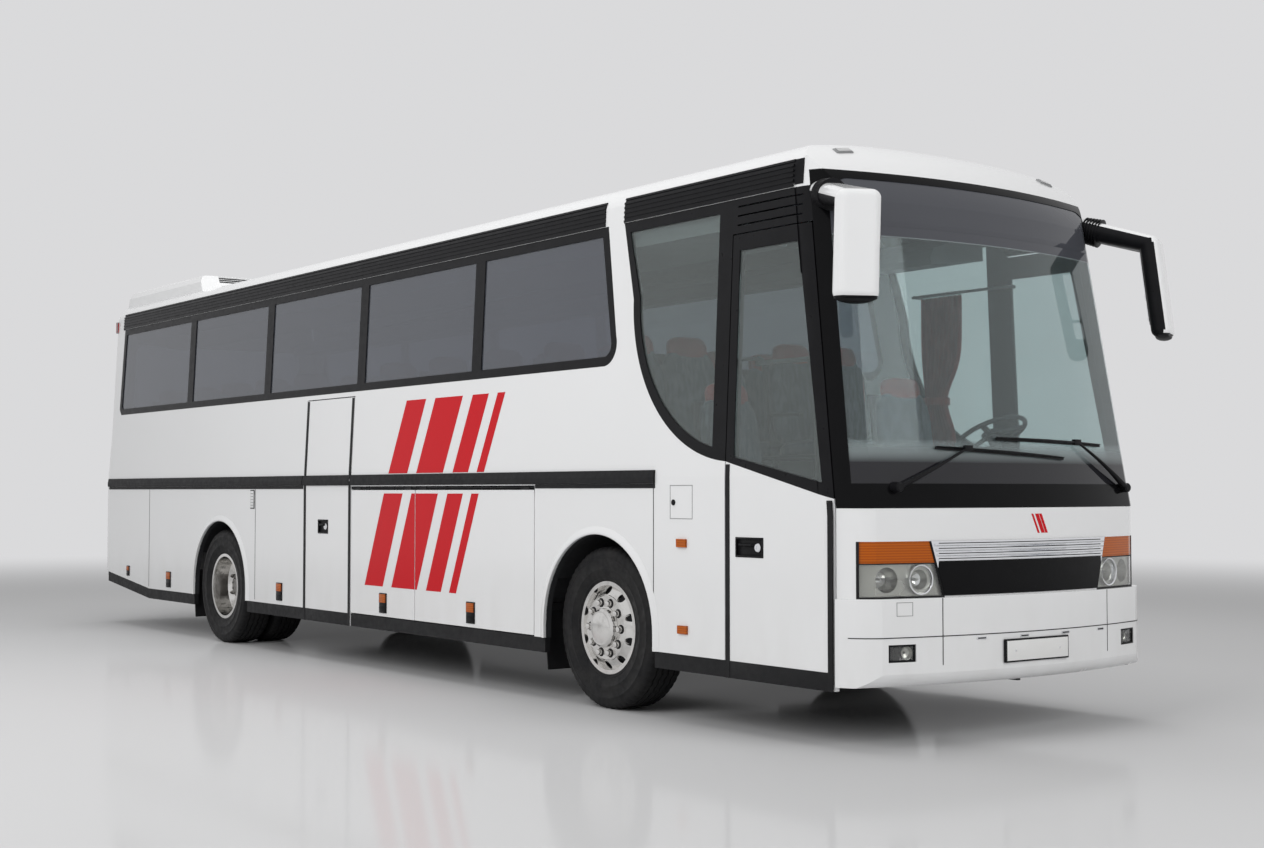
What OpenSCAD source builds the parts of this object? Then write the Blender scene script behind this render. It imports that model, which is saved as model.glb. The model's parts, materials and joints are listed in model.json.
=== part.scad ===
// High-deck touring coach: two axles, one front door, one middle door, luggage bay between the axles.
// Frame: +X forward, +Y to the coach's left, +Z up, origin on the ground below the middle of its length.
// Lengths are millimetres.

/* [Overall] */
// Length of the body from rear wall to front bumper
body_length = 11790; // [11700:10:11900]
// Width of the body below the waist rail
body_width = 2500; // [2440:10:2550]
// Height of the roof's crown above the ground
roof_z = 3450; // [3420:5:3500]
// Distance between the front and rear axles
wheelbase = 6080; // [6040:10:6120]
// Front axle to the foremost point of the bumper
front_overhang = 2550; // [2530:10:2570]
// Thickness of walls, doors and flaps
wall = 45; // [36:1:52]

/* [Section] */
// Height of the body's lower edge
sill_z = 320; // [300:5:340]
// Height of the white skirt's lower edge
skirt_z = 420; // [405:5:440]
// Height of the waist rail's middle, where the sides begin to lean in
waist_z = 1490; // [1480:5:1510]
// How far each side leans in between waist and cornice
side_lean = 86; // [60:2:100]
// Height of the cornice, where side wall and roof meet
cornice_z = 3290; // [3280:5:3300]
// Radius of the roof's crown
crown_r = 8000; // [6000:100:12000]
// Radius of the roof's shoulders
shoulder_r = 200; // [170:5:230]

/* [Front] */
// Radius of the front in plan
front_r = 4200; // [3900:50:4500]
// Radius of the front corners in plan
corner_r = 280; // [250:5:300]
// How far the bumper stands proud of the mask
bumper_proud = 40; // [25:1:55]
// Height of the mask's upper edge, where the rake begins
belt_z = 1310; // [1300:5:1330]
// Rake of the windscreen from the vertical
screen_rake = 9.2; // [7:0.1:11]
// Radius of the brow between windscreen and roof
brow_r = 560; // [450:10:700]
// Height of the bumper's upper edge
bumper_top = 822; // [800:2:840]
// Height of the bumper's lower edge
bumper_low = 345; // [335:5:380]
// Half width of the windscreen's glass at its foot
screen_half = 1175; // [1150:5:1190]
// Height of the glass's lower edge
screen_low = 1445; // [1420:5:1480]
// Height of the glass's upper edge
screen_top = 3165; // [3120:5:3180]

/* [Rear] */
// How far the rear wall leans forward between waist and cornice
rear_lean = 140; // [80:5:200]
// Radius of the rear corners in plan
rear_corner_r = 180; // [150:5:220]
// Radius between the rear wall and the roof
rear_brow_r = 240; // [180:10:300]
// Where the skirt begins to rise towards the tail, behind the rear axle
rise_start = 1790; // [1700:10:1900]
// How much the skirt has risen at the tail
rise = 150; // [100:5:180]
// Height of the rear bumper's upper edge
rear_bumper_top = 800; // [760:10:840]

/* [Windows] */
// Height of the side windows' lower edge
window_low = 2210; // [2190:5:2230]
// Height of the side windows' upper edge
window_top = 3125; // [3110:5:3140]
// Rear end of the side windows, ahead of the rear wall
window_rear = 365; // [330:5:400]
// Distance between the window posts
window_pitch = 1790; // [1770:5:1800]
// Width of the rubber border round the glass
window_border = 62; // [50:1:75]
// Width of the window posts
post_w = 130; // [110:5:150]
// Thickness of the glass
glass_t = 6; // [4:1:10]
// How deep the glass sits behind the outer face
glass_inset = 8; // [4:1:12]
// Depth of the window frames
frame_t = 30; // [24:1:34]

/* [Doors] */
// Gap round doors and flaps
door_gap = 8; // [6:1:10]
// Rear edge of the front door, ahead of the front axle
front_door_x = 1300; // [1280:5:1320]
// Width of the front door at its foot
front_door_w = 910; // [890:5:920]
// Height of the front door's upper edge
front_door_top = 2910; // [2880:5:2930]
// Rear edge of the middle door, ahead of the rear axle
mid_door_x = 1770; // [1740:10:1800]
// Width of the middle door
mid_door_w = 860; // [820:10:900]
// Radius of the swing columns that carry the doors
column_r = 20; // [16:1:24]

/* [Running gear] */
// Outer radius of the tyres
tyre_r = 522; // [510:1:530]
// Width of the tyres
tyre_w = 295; // [280:1:305]
// Radius where tyre and rim meet
bead_r = 292; // [286:1:298]
// Outer face of the front tyres from the middle
front_track_face = 1190; // [1180:2:1200]
// Outer face of the rear tyres from the middle
rear_track_face = 1225; // [1215:1:1230]
// Gap between twin tyres
twin_gap = 35; // [25:1:45]
// Kingpin from the middle
kingpin_y = 890; // [880:2:900]
// Radius of the wheel arches
arch_r = 610; // [600:5:620]
// Height of the wheel arches' middle
arch_z = 520; // [500:5:540]

/* [Hidden] */
$fn = 64;
half_w = body_width / 2;
x_front = body_length / 2;
x_rear = -body_length / 2;
x_fa = x_front - front_overhang;
x_ra = x_fa - wheelbase;
far = 900;                      // how far cutting shapes reach past the body
blend = 3;                      // rounding circles cross their neighbours this far out
fit = 0.3;                      // clearance where round faces meet

// Side lean
lean_slope = side_lean / (cornice_z - waist_z);
lean_angle = atan(lean_slope);
function side_y(z) = half_w - max(0, z - waist_z) * lean_slope;
function crown_z(y) = roof_z - crown_r + sqrt(crown_r * crown_r - y * y);

// Shoulder circle between side and crown
shoulder_y = side_y(cornice_z - 115) - shoulder_r + blend;
shoulder_z = crown_z(shoulder_y) - shoulder_r + blend;

// Front circle in plan and the mask's radius about the same point
front_cx = x_front - front_r;
mask_r = front_r - bumper_proud;
rake_slope = tan(screen_rake);
corner_y = half_w - corner_r + 2;
function corner_x(r) = front_cx + sqrt(pow(r - corner_r + 2, 2) - corner_y * corner_y);
corner_turn = asin(corner_y / (mask_r - corner_r));

// Brow circle, in the plane of radius and height
brow_z = roof_z - brow_r + blend;
brow_cr = mask_r - (brow_z - belt_z) * rake_slope - brow_r / cos(screen_rake) + blend;

// Door and pillar lines
pillar_slope = 0.16;
door_front_x = x_fa + front_door_x + front_door_w;
seam_x = door_front_x + door_gap;
function pillar_x(z) = seam_x - max(0, z - belt_z) * pillar_slope;
door_rear_x = x_fa + front_door_x;
mid_rear_x = x_ra + mid_door_x;
mid_front_x = mid_rear_x + mid_door_w;
mid_door_top = window_low - 45;

// Luggage flaps: name, side, rear edge, front edge
flap_front = x_fa - 740;
flap_share = 0.391;
flap_split = mid_front_x + flap_share * (flap_front - mid_front_x);
left_flap_rear = x_ra + 2050;
flap_top = 1418;
hinge_z = 1428;
hinge_r = 8;
flaps = [
  ["right_flap_rear", -1, mid_front_x + door_gap, flap_split],
  ["right_flap_front", -1, flap_split, flap_front],
  ["left_flap_rear", 1, left_flap_rear, flap_split],
  ["left_flap_front", 1, flap_split, flap_front]
];

// Inside heights
deck_z = 1300;
cab_z = 940;
step_z = 430;
bay_z = 460;
plate = 40;

// Colours
white = [0.93, 0.94, 0.95];
black = [0.05, 0.05, 0.06];
dark = [0.13, 0.13, 0.14];
glass = [0.35, 0.42, 0.45, 0.5];
chrome = [0.82, 0.83, 0.85];
amber = [0.95, 0.45, 0.05];
red = [0.75, 0.05, 0.06];
steel = [0.35, 0.36, 0.38];
rubber = [0.07, 0.07, 0.075];

// Extrusions along two axes, boxes and mirrored pairs
module along_x(x0, x1) { translate([x0, 0, 0]) rotate([90, 0, 90]) linear_extrude(x1 - x0) children(); }
module along_y(y0, y1) { translate([0, y1, 0]) rotate([90, 0, 0]) linear_extrude(y1 - y0) children(); }
module box(lo, hi) { translate(lo) cube(hi - lo); }
module rect(x0, y0, x1, y1) { translate([x0, y0]) square([x1 - x0, y1 - y0]); }
module both_sides() { children(); mirror([0, 1, 0]) children(); }
module on_side(s) { if (s < 0) children(); else mirror([0, 1, 0]) children(); }

// Corner of a shape outside a rounding circle, in the quadrant right of and above the circle's middle
module outside_corner(r) { difference() { rect(0, 0, far, far); circle(r); } }

// Cross section of the body, drawn across and up, set in by d
module section(d) {
  w = half_w - d;
  t = side_y(cornice_z + 400) - d;
  difference() {
    intersection() {
      polygon([[-w, -100], [w, -100], [w, waist_z],
        [t, cornice_z + 400], [-t, cornice_z + 400], [-w, waist_z]]);
      translate([0, roof_z - crown_r]) circle(crown_r - d, $fn = 256);
    }
    for (s = [-1, 1]) scale([s, 1, 1]) translate([shoulder_y, shoulder_z]) outside_corner(shoulder_r - d);
  }
}

// Side skin between two depths, straight along the coach
module side_skin(d0, d1, x0, x1) { along_x(x0, x1) difference() { section(d0); section(d1); } }

// Space ahead of the front face, turned about the front circle's axis
module front_turn() {
  translate([front_cx, 0, 0]) rotate([0, 0, -40]) rotate_extrude(angle = 80, $fn = 256) children();
}
module front_space(d, r) {
  top = roof_z + 400;
  front_turn() polygon([[r - d, -200], [r + far, -200], [r + far, top],
    [r - d - (top - belt_z) * rake_slope, top], [r - d, belt_z]]);
  front_turn() translate([brow_cr, brow_z]) outside_corner(brow_r - d);
}

// Space outside the front corners: upright below the belt, raked above it
module outside_turn(r) {
  difference() {
    polygon([[0, 0], [far * cos(corner_turn), far * sin(corner_turn)], [far, far], [0, far]]);
    circle(r);
  }
}
module corner_low(d, r) {
  both_sides() mirror([0, 1, 0]) translate([corner_x(r), corner_y, -200])
    linear_extrude(belt_z + 202) outside_turn(corner_r - d);
}
module corner_high(d, r) {
  both_sides() mirror([0, 1, 0]) translate([corner_x(r), corner_y, belt_z])
    rotate([lean_angle, -atan(rake_slope * cos(corner_turn)), 0])
    translate([0, 0, -60]) linear_extrude(roof_z) outside_turn(corner_r - d);
}

// Space behind the rear wall
module rear_space(d) {
  slope = rear_lean / (cornice_z - waist_z);
  rake = atan(slope);
  rx = x_rear + (roof_z - rear_brow_r - waist_z) * slope + rear_brow_r / cos(rake) - blend;
  rz = roof_z - rear_brow_r + blend;
  along_y(-half_w - far, half_w + far) {
    polygon([[x_rear - far, -200], [x_rear + d, -200], [x_rear + d, waist_z],
      [x_rear + d + (roof_z + 400 - waist_z) * slope, roof_z + 400], [x_rear - far, roof_z + 400]]);
    translate([rx, rz]) mirror([1, 0]) outside_corner(rear_brow_r - d);
  }
  both_sides() mirror([0, 1, 0]) {
    c = [x_rear + rear_corner_r - 2, half_w - rear_corner_r + 2];
    translate([c.x, c.y, -200]) linear_extrude(waist_z + 200)
      mirror([1, 0]) outside_corner(rear_corner_r - d);
    translate([c.x, c.y, waist_z]) rotate([lean_angle, rake, 0])
      translate([0, 0, -30]) linear_extrude(roof_z) mirror([1, 0]) outside_corner(rear_corner_r - d);
  }
}

// Whole outer form, set in by d
module front_form(d, x0) {
  difference() {
    difference() {
      difference() {
        along_x(x0, x_front + 50) section(d);
        front_space(d, mask_r);
      }
      corner_low(d, mask_r);
    }
    corner_high(d, mask_r);
  }
}
module form(d) { difference() { front_form(d, x_rear - 50); rear_space(d); } }
module rear_form(d) {
  difference() {
    along_x(x_rear - 50, x_rear + 1200) section(d);
    rear_space(d);
  }
}

// Outlines on the side, drawn along and up
rise_x = x_ra - rise_start;
function skirt_low(x) = skirt_z + rise * max(0, rise_x - x) / (rise_x - x_rear);
module skirt_line(top) {
  polygon([[x_rear - 50, skirt_low(x_rear - 50)], [rise_x, skirt_z], [x_front, skirt_z],
    [x_front, top], [x_rear - 50, top]]);
}
module pillar_line(g, top) {
  polygon([[x_rear - 50, 0], [seam_x - g, 0], [seam_x - g, belt_z],
    [pillar_x(top) - g, top], [x_rear - 50, top]]);
}
band_rear = x_rear + window_rear;
band_front = x_fa + 25;
band_corner_r = 140;
module window_band(e) {
  r = band_corner_r - e;
  cx = band_front - 5;
  cz = window_low + band_corner_r;
  polygon([[band_rear + 60 + e / 2, window_low + e], [cx, window_low + e], [cx + r, cz],
    [band_front - 5 - e, window_top - e], [band_rear + 30 + e, window_top - e],
    [band_rear + e, window_low + 60 + e / 2]]);
  translate([cx, cz]) circle(r);
}
post_xs = [for (i = [1:4]) band_front - 1595 - (4 - i) * window_pitch];
pane_edges = concat([band_rear], post_xs, [band_front + 200]);
module panes() {
  for (i = [0:len(pane_edges) - 2]) intersection() {
    window_band(window_border);
    rect(pane_edges[i] + post_w / 2, window_low, pane_edges[i + 1] - post_w / 2, window_top);
  }
}
// Quarter window: its rear edge sweeps down and forward into the door
sweep_c = [x_fa + 1370, 2620];
sweep_r = 1045;
quarter_front = door_rear_x - door_gap;
module quarter(e) {
  r = sweep_r - e;
  polygon([[sweep_c.x - r, sweep_c.y], [quarter_front, sweep_c.y], [quarter_front, window_top - e],
    [sweep_c.x - sweep_r - 130 + e, window_top - e]]);
  intersection() {
    translate(sweep_c) circle(r, $fn = 128);
    rect(sweep_c.x - sweep_r, sweep_c.y - sweep_r, quarter_front, sweep_c.y + 1);
  }
}
module quarter_pane() {
  intersection() { quarter(window_border + 5); rect(0, 0, quarter_front - 125, roof_z); }
}
// Line under the black part of the front door
sweep_low = sweep_c.y - sqrt(sweep_r * sweep_r - pow(sweep_c.x - quarter_front, 2));
sweep_end = sweep_low - 220;
sweep_slope = (sweep_end - sweep_low) / (seam_x - quarter_front);
function sweep_z(x) = sweep_low + (x - quarter_front) * sweep_slope;
module door_outline(g, low) {
  polygon([[door_rear_x + g, low], [door_front_x - g, low], [door_front_x - g, belt_z],
    [pillar_x(front_door_top) - door_gap - g, front_door_top - g],
    [door_rear_x + g, front_door_top - g]]);
}
module above_sweep(x0, x1) {
  polygon([[x0, sweep_z(x0)], [x1, sweep_z(x1)], [x1, roof_z], [x0, roof_z]]);
}
module door_pane() {
  polygon([[door_rear_x + 70, sweep_z(door_rear_x) + 25], [door_front_x - 90, sweep_z(door_front_x) + 90],
    [pillar_x(front_door_top) - 95, front_door_top - 95], [door_rear_x + 62, front_door_top - 95]]);
}
module arch(x, r) {
  translate([x, arch_z]) circle(r, $fn = 96);
  rect(x - r, 0, x + r, arch_z);
}

// Side walls, with the openings for windows, arches, doors and flaps
module side_wall(s) {
  color(white) on_side(s) difference() {
    intersection() {
      side_skin(0, wall, x_rear + rear_corner_r, seam_x);
      along_y(-half_w - 10, 0) intersection() { skirt_line(cornice_z); pillar_line(0, cornice_z); }
    }
    corner_low(0, mask_r);
    corner_high(0, mask_r);
    along_y(-half_w - 10, 0) {
      window_band(0);
      quarter(0);
      arch(x_fa, arch_r);
      arch(x_ra, arch_r);
      rect(door_rear_x - door_gap - 1, front_door_top, x_front, window_top);
      if (s < 0) {
        door_outline(-door_gap, 0);
        rect(mid_rear_x - door_gap, 0, mid_front_x + door_gap, mid_door_top + door_gap);
      } else intersection() {
        above_sweep(quarter_front - 1, x_front);
        door_outline(-door_gap, 0);
      }
      for (f = flaps) if (f[1] == s) rect(f[2] - door_gap / 2, 0, f[3] + door_gap / 2, hinge_z + 14);
    }
  }
}
module right_wall() { side_wall(-1); }
module left_wall() { side_wall(1); }

// Black window frames with their posts, the door's louvred header and the driver's window frame
louvre_count = 3;
louvre_pitch = 55;
louvre_h = 10;
module window_frame(s) {
  color(black) on_side(s) intersection() {
    difference() {
      side_skin(0, frame_t, band_rear - 10, seam_x);
      corner_high(0, mask_r);
    }
    along_y(-half_w - 10, 0) intersection() {
      pillar_line(0, cornice_z);
      union() {
        difference() { window_band(0); panes(); }
        difference() { quarter(0); quarter_pane(); }
        difference() {
          rect(quarter_front, front_door_top + (s < 0 ? door_gap : 0), x_front, window_top);
          for (i = [0:louvre_count - 1]) translate([0, front_door_top + 52 + i * louvre_pitch])
            rect(quarter_front + 40, 0, seam_x - 330, louvre_h);
        }
        if (s > 0) difference() {
          intersection() {
            above_sweep(quarter_front, x_front);
            rect(quarter_front, 0, x_front, front_door_top);
          }
          door_pane();
        }
      }
    }
  }
}
module window_frames() { for (s = [-1, 1]) window_frame(s); }

module glass_row(s) {
  color(glass) on_side(s) intersection() {
    side_skin(glass_inset, glass_inset + glass_t, band_rear, seam_x);
    along_y(-half_w - 10, 0) {
      panes();
      quarter_pane();
      if (s > 0) door_pane();
    }
  }
}
module side_glass() { for (s = [-1, 1]) glass_row(s); }

// Roof with its front brow and rear edge
module roof_region() {
  box([x_rear - 50, -half_w, cornice_z], [x_front, half_w, roof_z + 50]);
  ahead_of_seam(screen_top + 50, cornice_z + 1);
  box([x_rear - 50, -half_w, cornice_z - 60], [x_rear + rear_corner_r, half_w, cornice_z + 1]);
}
module roof() {
  color(white) intersection() {
    difference() { form(0); form(wall); }
    roof_region();
  }
}

// Front mask with the openings for lamps and grille
lamp_out = half_w - 90;
lamp_in_top = 740;
lamp_in_low = 650;
lamp_low = 830;
lamp_mid = 1010;
lamp_top = 1130;
module lamp_outline(z0, z1, e) {
  slope = (lamp_in_top - lamp_in_low) / (lamp_top - lamp_low);
  function in_y(z) = lamp_in_low + (z - lamp_low) * slope;
  polygon([[lamp_out - e, z0 + e], [in_y(z0) + e, z0 + e],
    [in_y(z1) + e, z1 - e], [lamp_out - e, z1 - e]]);
}
module grille_outline(e) {
  polygon([[-lamp_in_low + e, lamp_low + e], [lamp_in_low - e, lamp_low + e],
    [lamp_in_top - e, lamp_top - e], [-lamp_in_top + e, lamp_top - e]]);
}
module ahead_of_seam(z0, z1) {
  along_y(-half_w - 10, half_w + 10) polygon([[pillar_x(z0), z0], [x_front + 100, z0],
    [x_front + 100, z1], [pillar_x(z1), z1], if (z0 < belt_z && z1 > belt_z) [seam_x, belt_z]]);
}
front_start = front_cx + 2000;
module front_shell(d0, d1) {
  difference() {
    front_form(d0, front_start);
    front_form(d1, front_start);
  }
}
module front_skin(d0, d1, z0, z1) {
  intersection() {
    front_shell(d0, d1);
    ahead_of_seam(z0, z1);
  }
}
module mask() {
  color(white) difference() {
    front_skin(0, wall, lamp_low - 8, belt_z);
    along_x(x_front - 500, x_front + 100) {
      for (s = [-1, 1]) scale([s, 1, 1]) lamp_outline(lamp_low, lamp_top, 0);
      grille_outline(0);
    }
  }
}
module screen_outline() {
  lean_in = (screen_top - screen_low) * 0.045;
  t = screen_half - lean_in;
  r = 130;
  polygon([[-screen_half, screen_low], [screen_half, screen_low], [t, screen_top - r],
    [t - r, screen_top], [-t + r, screen_top], [-t, screen_top - r]]);
  for (s = [-1, 1]) translate([s * (t - r), screen_top - r]) circle(r);
}
module screen_frame() {
  color(black) difference() {
    front_skin(0, wall, belt_z, screen_top + 50);
    along_x(front_cx + 2200, x_front + 100) screen_outline();
  }
}
module windscreen() {
  color(glass) intersection() {
    front_shell(glass_inset / 2, glass_inset / 2 + glass_t + 2);
    along_x(front_cx + 2200, x_front + 100) screen_outline();
  }
}

// Bumper: proud of the mask, turned under at its foot
module bumper_form(d) {
  tuck = 110;
  difference() {
    difference() {
      difference() {
        box([front_start, d - half_w, -100], [x_front + 50, half_w - d, belt_z]);
        front_turn() rect(front_r - d, -200, front_r + far, belt_z + 100);
      }
      front_turn() translate([front_r - tuck + blend, bumper_low + tuck - 14])
        mirror([0, 1]) outside_corner(tuck - d);
    }
    both_sides() mirror([0, 1, 0]) translate([corner_x(front_r), corner_y, -200])
      linear_extrude(belt_z + 300) outside_turn(corner_r - d);
  }
}
fog_y = [870, 1040];
fog_z = [480, 575];
module front_bumper() {
  color(white) difference() {
    intersection() {
      difference() { bumper_form(0); bumper_form(wall); }
      box([seam_x, -half_w, bumper_low], [x_front + 10, half_w, bumper_top]);
    }
    // fog lamp pockets
    both_sides() box([x_front - 400, fog_y[0], fog_z[0]], [x_front + 10, fog_y[1], fog_z[1]]);
  }
}

// Rear wall with window, flap opening and lamp pockets
rear_glass_half = 960;
rear_glass_low = 2180;
rear_glass_top = 2980;
flap_half = 820;
engine_flap_low = rear_bumper_top + 30;
engine_flap_top = 1560;
tail_w = 150;
tail_y = half_w - 260;
tail_low = rear_bumper_top + 60;
tail_top = 1480;
engine_pin = [x_rear + 22, 0, engine_flap_top - 22];
module rear_outline(w, z0, z1, r) {
  polygon([[-w + r, z0], [w - r, z0], [w, z0 + r], [w, z1 - r],
    [w - r, z1], [-w + r, z1], [-w, z1 - r], [-w, z0 + r]]);
  for (sy = [-1, 1], z = [z0 + r, z1 - r]) translate([sy * (w - r), z]) circle(r);
}
module tail_outline() {
  for (s = [-1, 1]) scale([s, 1, 1]) rect(tail_y, tail_low, tail_y + tail_w, tail_top);
}
module rear_wall() {
  color(white) translate(engine_pin) rotate([90, 0, 0])
    cylinder(r = hinge_r, h = 2 * (flap_half + door_gap) + 20, center = true);
  color(white) difference() {
    intersection() {
      difference() { rear_form(0); rear_form(wall); }
      box([x_rear - 50, -half_w, rear_bumper_top], [x_rear + rear_corner_r, half_w, cornice_z - 60]);
    }
    along_x(x_rear - 50, x_rear + 400) {
      rear_outline(rear_glass_half, rear_glass_low, rear_glass_top, 90);
      rect(-flap_half - door_gap, 0, flap_half + door_gap, engine_flap_top + door_gap);
      tail_outline();
    }
  }
}
module rear_glass() {
  color(glass) intersection() {
    difference() { rear_form(glass_inset); rear_form(glass_inset + glass_t); }
    along_x(x_rear - 50, x_rear + 400) rear_outline(rear_glass_half, rear_glass_low, rear_glass_top, 90);
  }
}
module rear_bumper() {
  color(white) intersection() {
    difference() { rear_form(0); rear_form(wall); }
    box([x_rear - 50, -half_w, skirt_z + rise - 60], [x_rear + rear_corner_r, half_w, rear_bumper_top]);
  }
}
// Engine flap with cooling slots, hung on a pin along its upper edge
vent_count = 7;
vent_pitch = 55;
vent_h = 25;
vent_half = 560;
module engine_flap() {
  color(white) difference() {
    union() {
      box([x_rear, -flap_half, engine_flap_low], [x_rear + wall, flap_half, engine_flap_top - 30]);
      translate(engine_pin) rotate([90, 0, 0]) cylinder(r = 20, h = 2 * flap_half - 20, center = true);
      box([x_rear + 2, -flap_half + 10, engine_flap_top - 40],
        [x_rear + 42, flap_half - 10, engine_flap_top - 25]);
    }
    translate(engine_pin) rotate([90, 0, 0]) cylinder(r = hinge_r + fit, h = 2 * half_w, center = true);
    for (i = [0:vent_count - 1]) translate([x_rear, 0, engine_flap_low + 180 + i * vent_pitch])
      box([-5, -vent_half, 0], [28, vent_half, vent_h]);
  }
}

// Cove strips with louvre ribs above the windows
cove_spans = [[band_rear, x_fa - 15], [x_fa + 195, x_fa + 1820]];
cove_low = window_top + 3;
cove_top = cornice_z - 3;
rib_count = 6;
module cove_grilles() {
  pitch = (cove_top - cove_low - 14) / (rib_count - 1);
  color(black) both_sides() for (c = cove_spans) intersection() {
    union() {
      side_skin(-2, 0, c[0], c[1]);
      side_skin(-9, -1, c[0], c[1]);
    }
    along_y(-half_w, -shoulder_y) {
      for (i = [0:rib_count - 1]) rect(c[0], cove_low + i * pitch, c[1], cove_low + i * pitch + 14);
    }
  }
}

// Waist rails, hinge rods of the flaps and black sills
rail_low = 1450;
rail_high = 1534;
rail_proud = 18;
rail_rear = x_rear + rear_corner_r;
rail_front = x_fa + 620;
rail_gap = 14;
lug_w = 20;
hinge_y = -half_w + hinge_r + 4;
// Columns: rear end, front end
right_rails = [[rail_rear, mid_rear_x - rail_gap], [mid_front_x + door_gap, rail_front]];
left_rails = [[rail_rear, rail_front]];
right_sills = [
  [x_ra + arch_r, mid_rear_x - door_gap],
  [mid_front_x + door_gap, x_fa - arch_r],
  [x_fa + arch_r, door_rear_x - door_gap]
];
left_sills = [[x_ra + arch_r, x_fa - arch_r], [x_fa + arch_r, seam_x]];
module waist_rail(x0, x1, sunk) {
  out = -half_w - rail_proud;
  along_x(x0, x1) polygon([[sunk - half_w, rail_low], [out + 6, rail_low], [out, rail_low + 8],
    [out, waist_z], [out + 8, rail_high], [sunk - side_y(rail_high), rail_high],
    [sunk - half_w, waist_z]]);
}
module side_trim() {
  color(black) for (s = [-1, 1]) on_side(s) {
    for (c = s < 0 ? right_rails : left_rails) waist_rail(c[0], c[1], 0);
    // hinge rod, held at its ends and between the flaps by lugs below the rail
    x0 = s < 0 ? flaps[0][2] : flaps[2][2];
    translate([x0, hinge_y, hinge_z]) rotate([0, 90, 0]) cylinder(r = hinge_r, h = flap_front - x0);
    lugs = [x0, (x0 + flap_split - lug_w) / 2, flap_split - lug_w / 2,
      (flap_split + flap_front - lug_w) / 2, flap_front - lug_w];
    for (x = lugs) box([x, -half_w + 2, hinge_z - 2], [x + lug_w, -half_w + wall, hinge_z + 14]);
    // black sills below the skirt, rising behind the rear wheels and open at the doors
    along_y(-half_w + 4, -half_w + wall) polygon([[rail_rear, skirt_low(rail_rear)], [rise_x, skirt_z],
      [x_ra - arch_r, skirt_z], [x_ra - arch_r, sill_z], [rise_x, sill_z],
      [rail_rear, skirt_low(rail_rear) - skirt_z + sill_z]]);
    for (c = s < 0 ? right_sills : left_sills)
      box([c[0], -half_w + 4, sill_z], [c[1], -half_w + wall, skirt_z]);
  }
}

// Air-conditioning unit on the roof's tail and two roof hatches
unit_foot = roof_z - 150;
unit_top = roof_z + 120;
unit_half = 1050;
unit_ends = [110, 2230];
// Half of the unit's cross section from its foot up, as [y, z]
unit_side = [[unit_half, unit_foot], [unit_half - 12, roof_z + 30], [unit_half - 40, unit_top - 35],
  [unit_half - 100, unit_top - 8], [unit_half - 260, unit_top + 10]];
hatch_half = 400;
hatch_top = roof_z + 42;
hatch_xs = [x_ra + 3400, x_fa - 300];
module roof_unit() {
  color(white) difference() {
    union() {
      intersection() {
        along_y(-unit_half - 20, unit_half + 20) translate([x_rear, 0])
          polygon([[unit_ends[0], unit_foot], [unit_ends[0] + 50, unit_top - 50],
            [unit_ends[0] + 130, unit_top], [unit_ends[1] - 340, unit_top + 10],
            [unit_ends[1] - 150, unit_top - 20], [unit_ends[1], unit_foot]]);
        along_x(x_rear, 0) polygon(concat(unit_side,
          [for (i = [len(unit_side) - 1:-1:0]) [-unit_side[i][0], unit_side[i][1]]]));
      }
      for (x = hatch_xs) translate([x, 0, 0]) along_y(-hatch_half, hatch_half)
        polygon([[-hatch_half, unit_foot], [-hatch_half, roof_z + 20], [40 - hatch_half, hatch_top],
          [hatch_half - 40, hatch_top], [hatch_half, roof_z + 20], [hatch_half, unit_foot]]);
    }
    along_x(x_rear - 50, x_front) section(0);
  }
}

// Lamps; each reflector bowl as [y, x behind the front]
bowls = [[800, 130], [990, 225]];
bowl_z = (lamp_low + lamp_mid) / 2;
module lamp_prisms(z0, z1, e) {
  along_x(seam_x + 4, x_front) for (s = [-1, 1]) scale([s, 1, 1]) lamp_outline(z0, z1, e);
}
module lamp_housings() {
  color(chrome) intersection() {
    difference() {
      lamp_prisms(lamp_low, lamp_top, 2);
      for (s = [-1, 1], b = bowls) translate([x_front - b[1], s * b[0], bowl_z])
        rotate([0, 90, s * b[0] * 0.014]) translate([0, 0, -80]) cylinder(r1 = 35, r2 = 78, h = 150);
    }
    front_shell(24, 150);
  }
}
module headlamps() {
  color(glass) intersection() {
    front_shell(4, 10);
    lamp_prisms(lamp_low, lamp_mid - 2, 0);
  }
}
// Indicators, and side repeaters ahead of the front wheels, each as [x, z]
markers = [[x_fa + 890, 1090], [x_fa + 900, 570]];
module amber_lamps() {
  color(amber) {
    intersection() {
      front_shell(4, 20);
      lamp_prisms(lamp_mid + 2, lamp_top, 0);
    }
    both_sides() for (m = markers) translate([m.x, -half_w, m.y]) box([-45, -14, -25], [45, 0, 25]);
  }
}
// Bright slats over a black panel
slat_count = 4;
slat_pitch = 28;
slat_gap = 8;
slat_half = 690;
module grille() {
  color(chrome) intersection() {
    union() {
      front_shell(-6, 20);
      front_shell(18, 40);
    }
    along_x(x_front - 500, x_front + 20) difference() {
      grille_outline(0);
      for (i = [0:slat_count - 1]) translate([0, lamp_mid + 18 + i * slat_pitch])
        rect(-slat_half, 0, slat_half, slat_gap);
    }
  }
}
module tail_lamps() {
  color(red) intersection() {
    difference() { rear_form(-4); rear_form(30); }
    along_x(x_rear - 50, x_rear + 400) tail_outline();
  }
}

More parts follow.
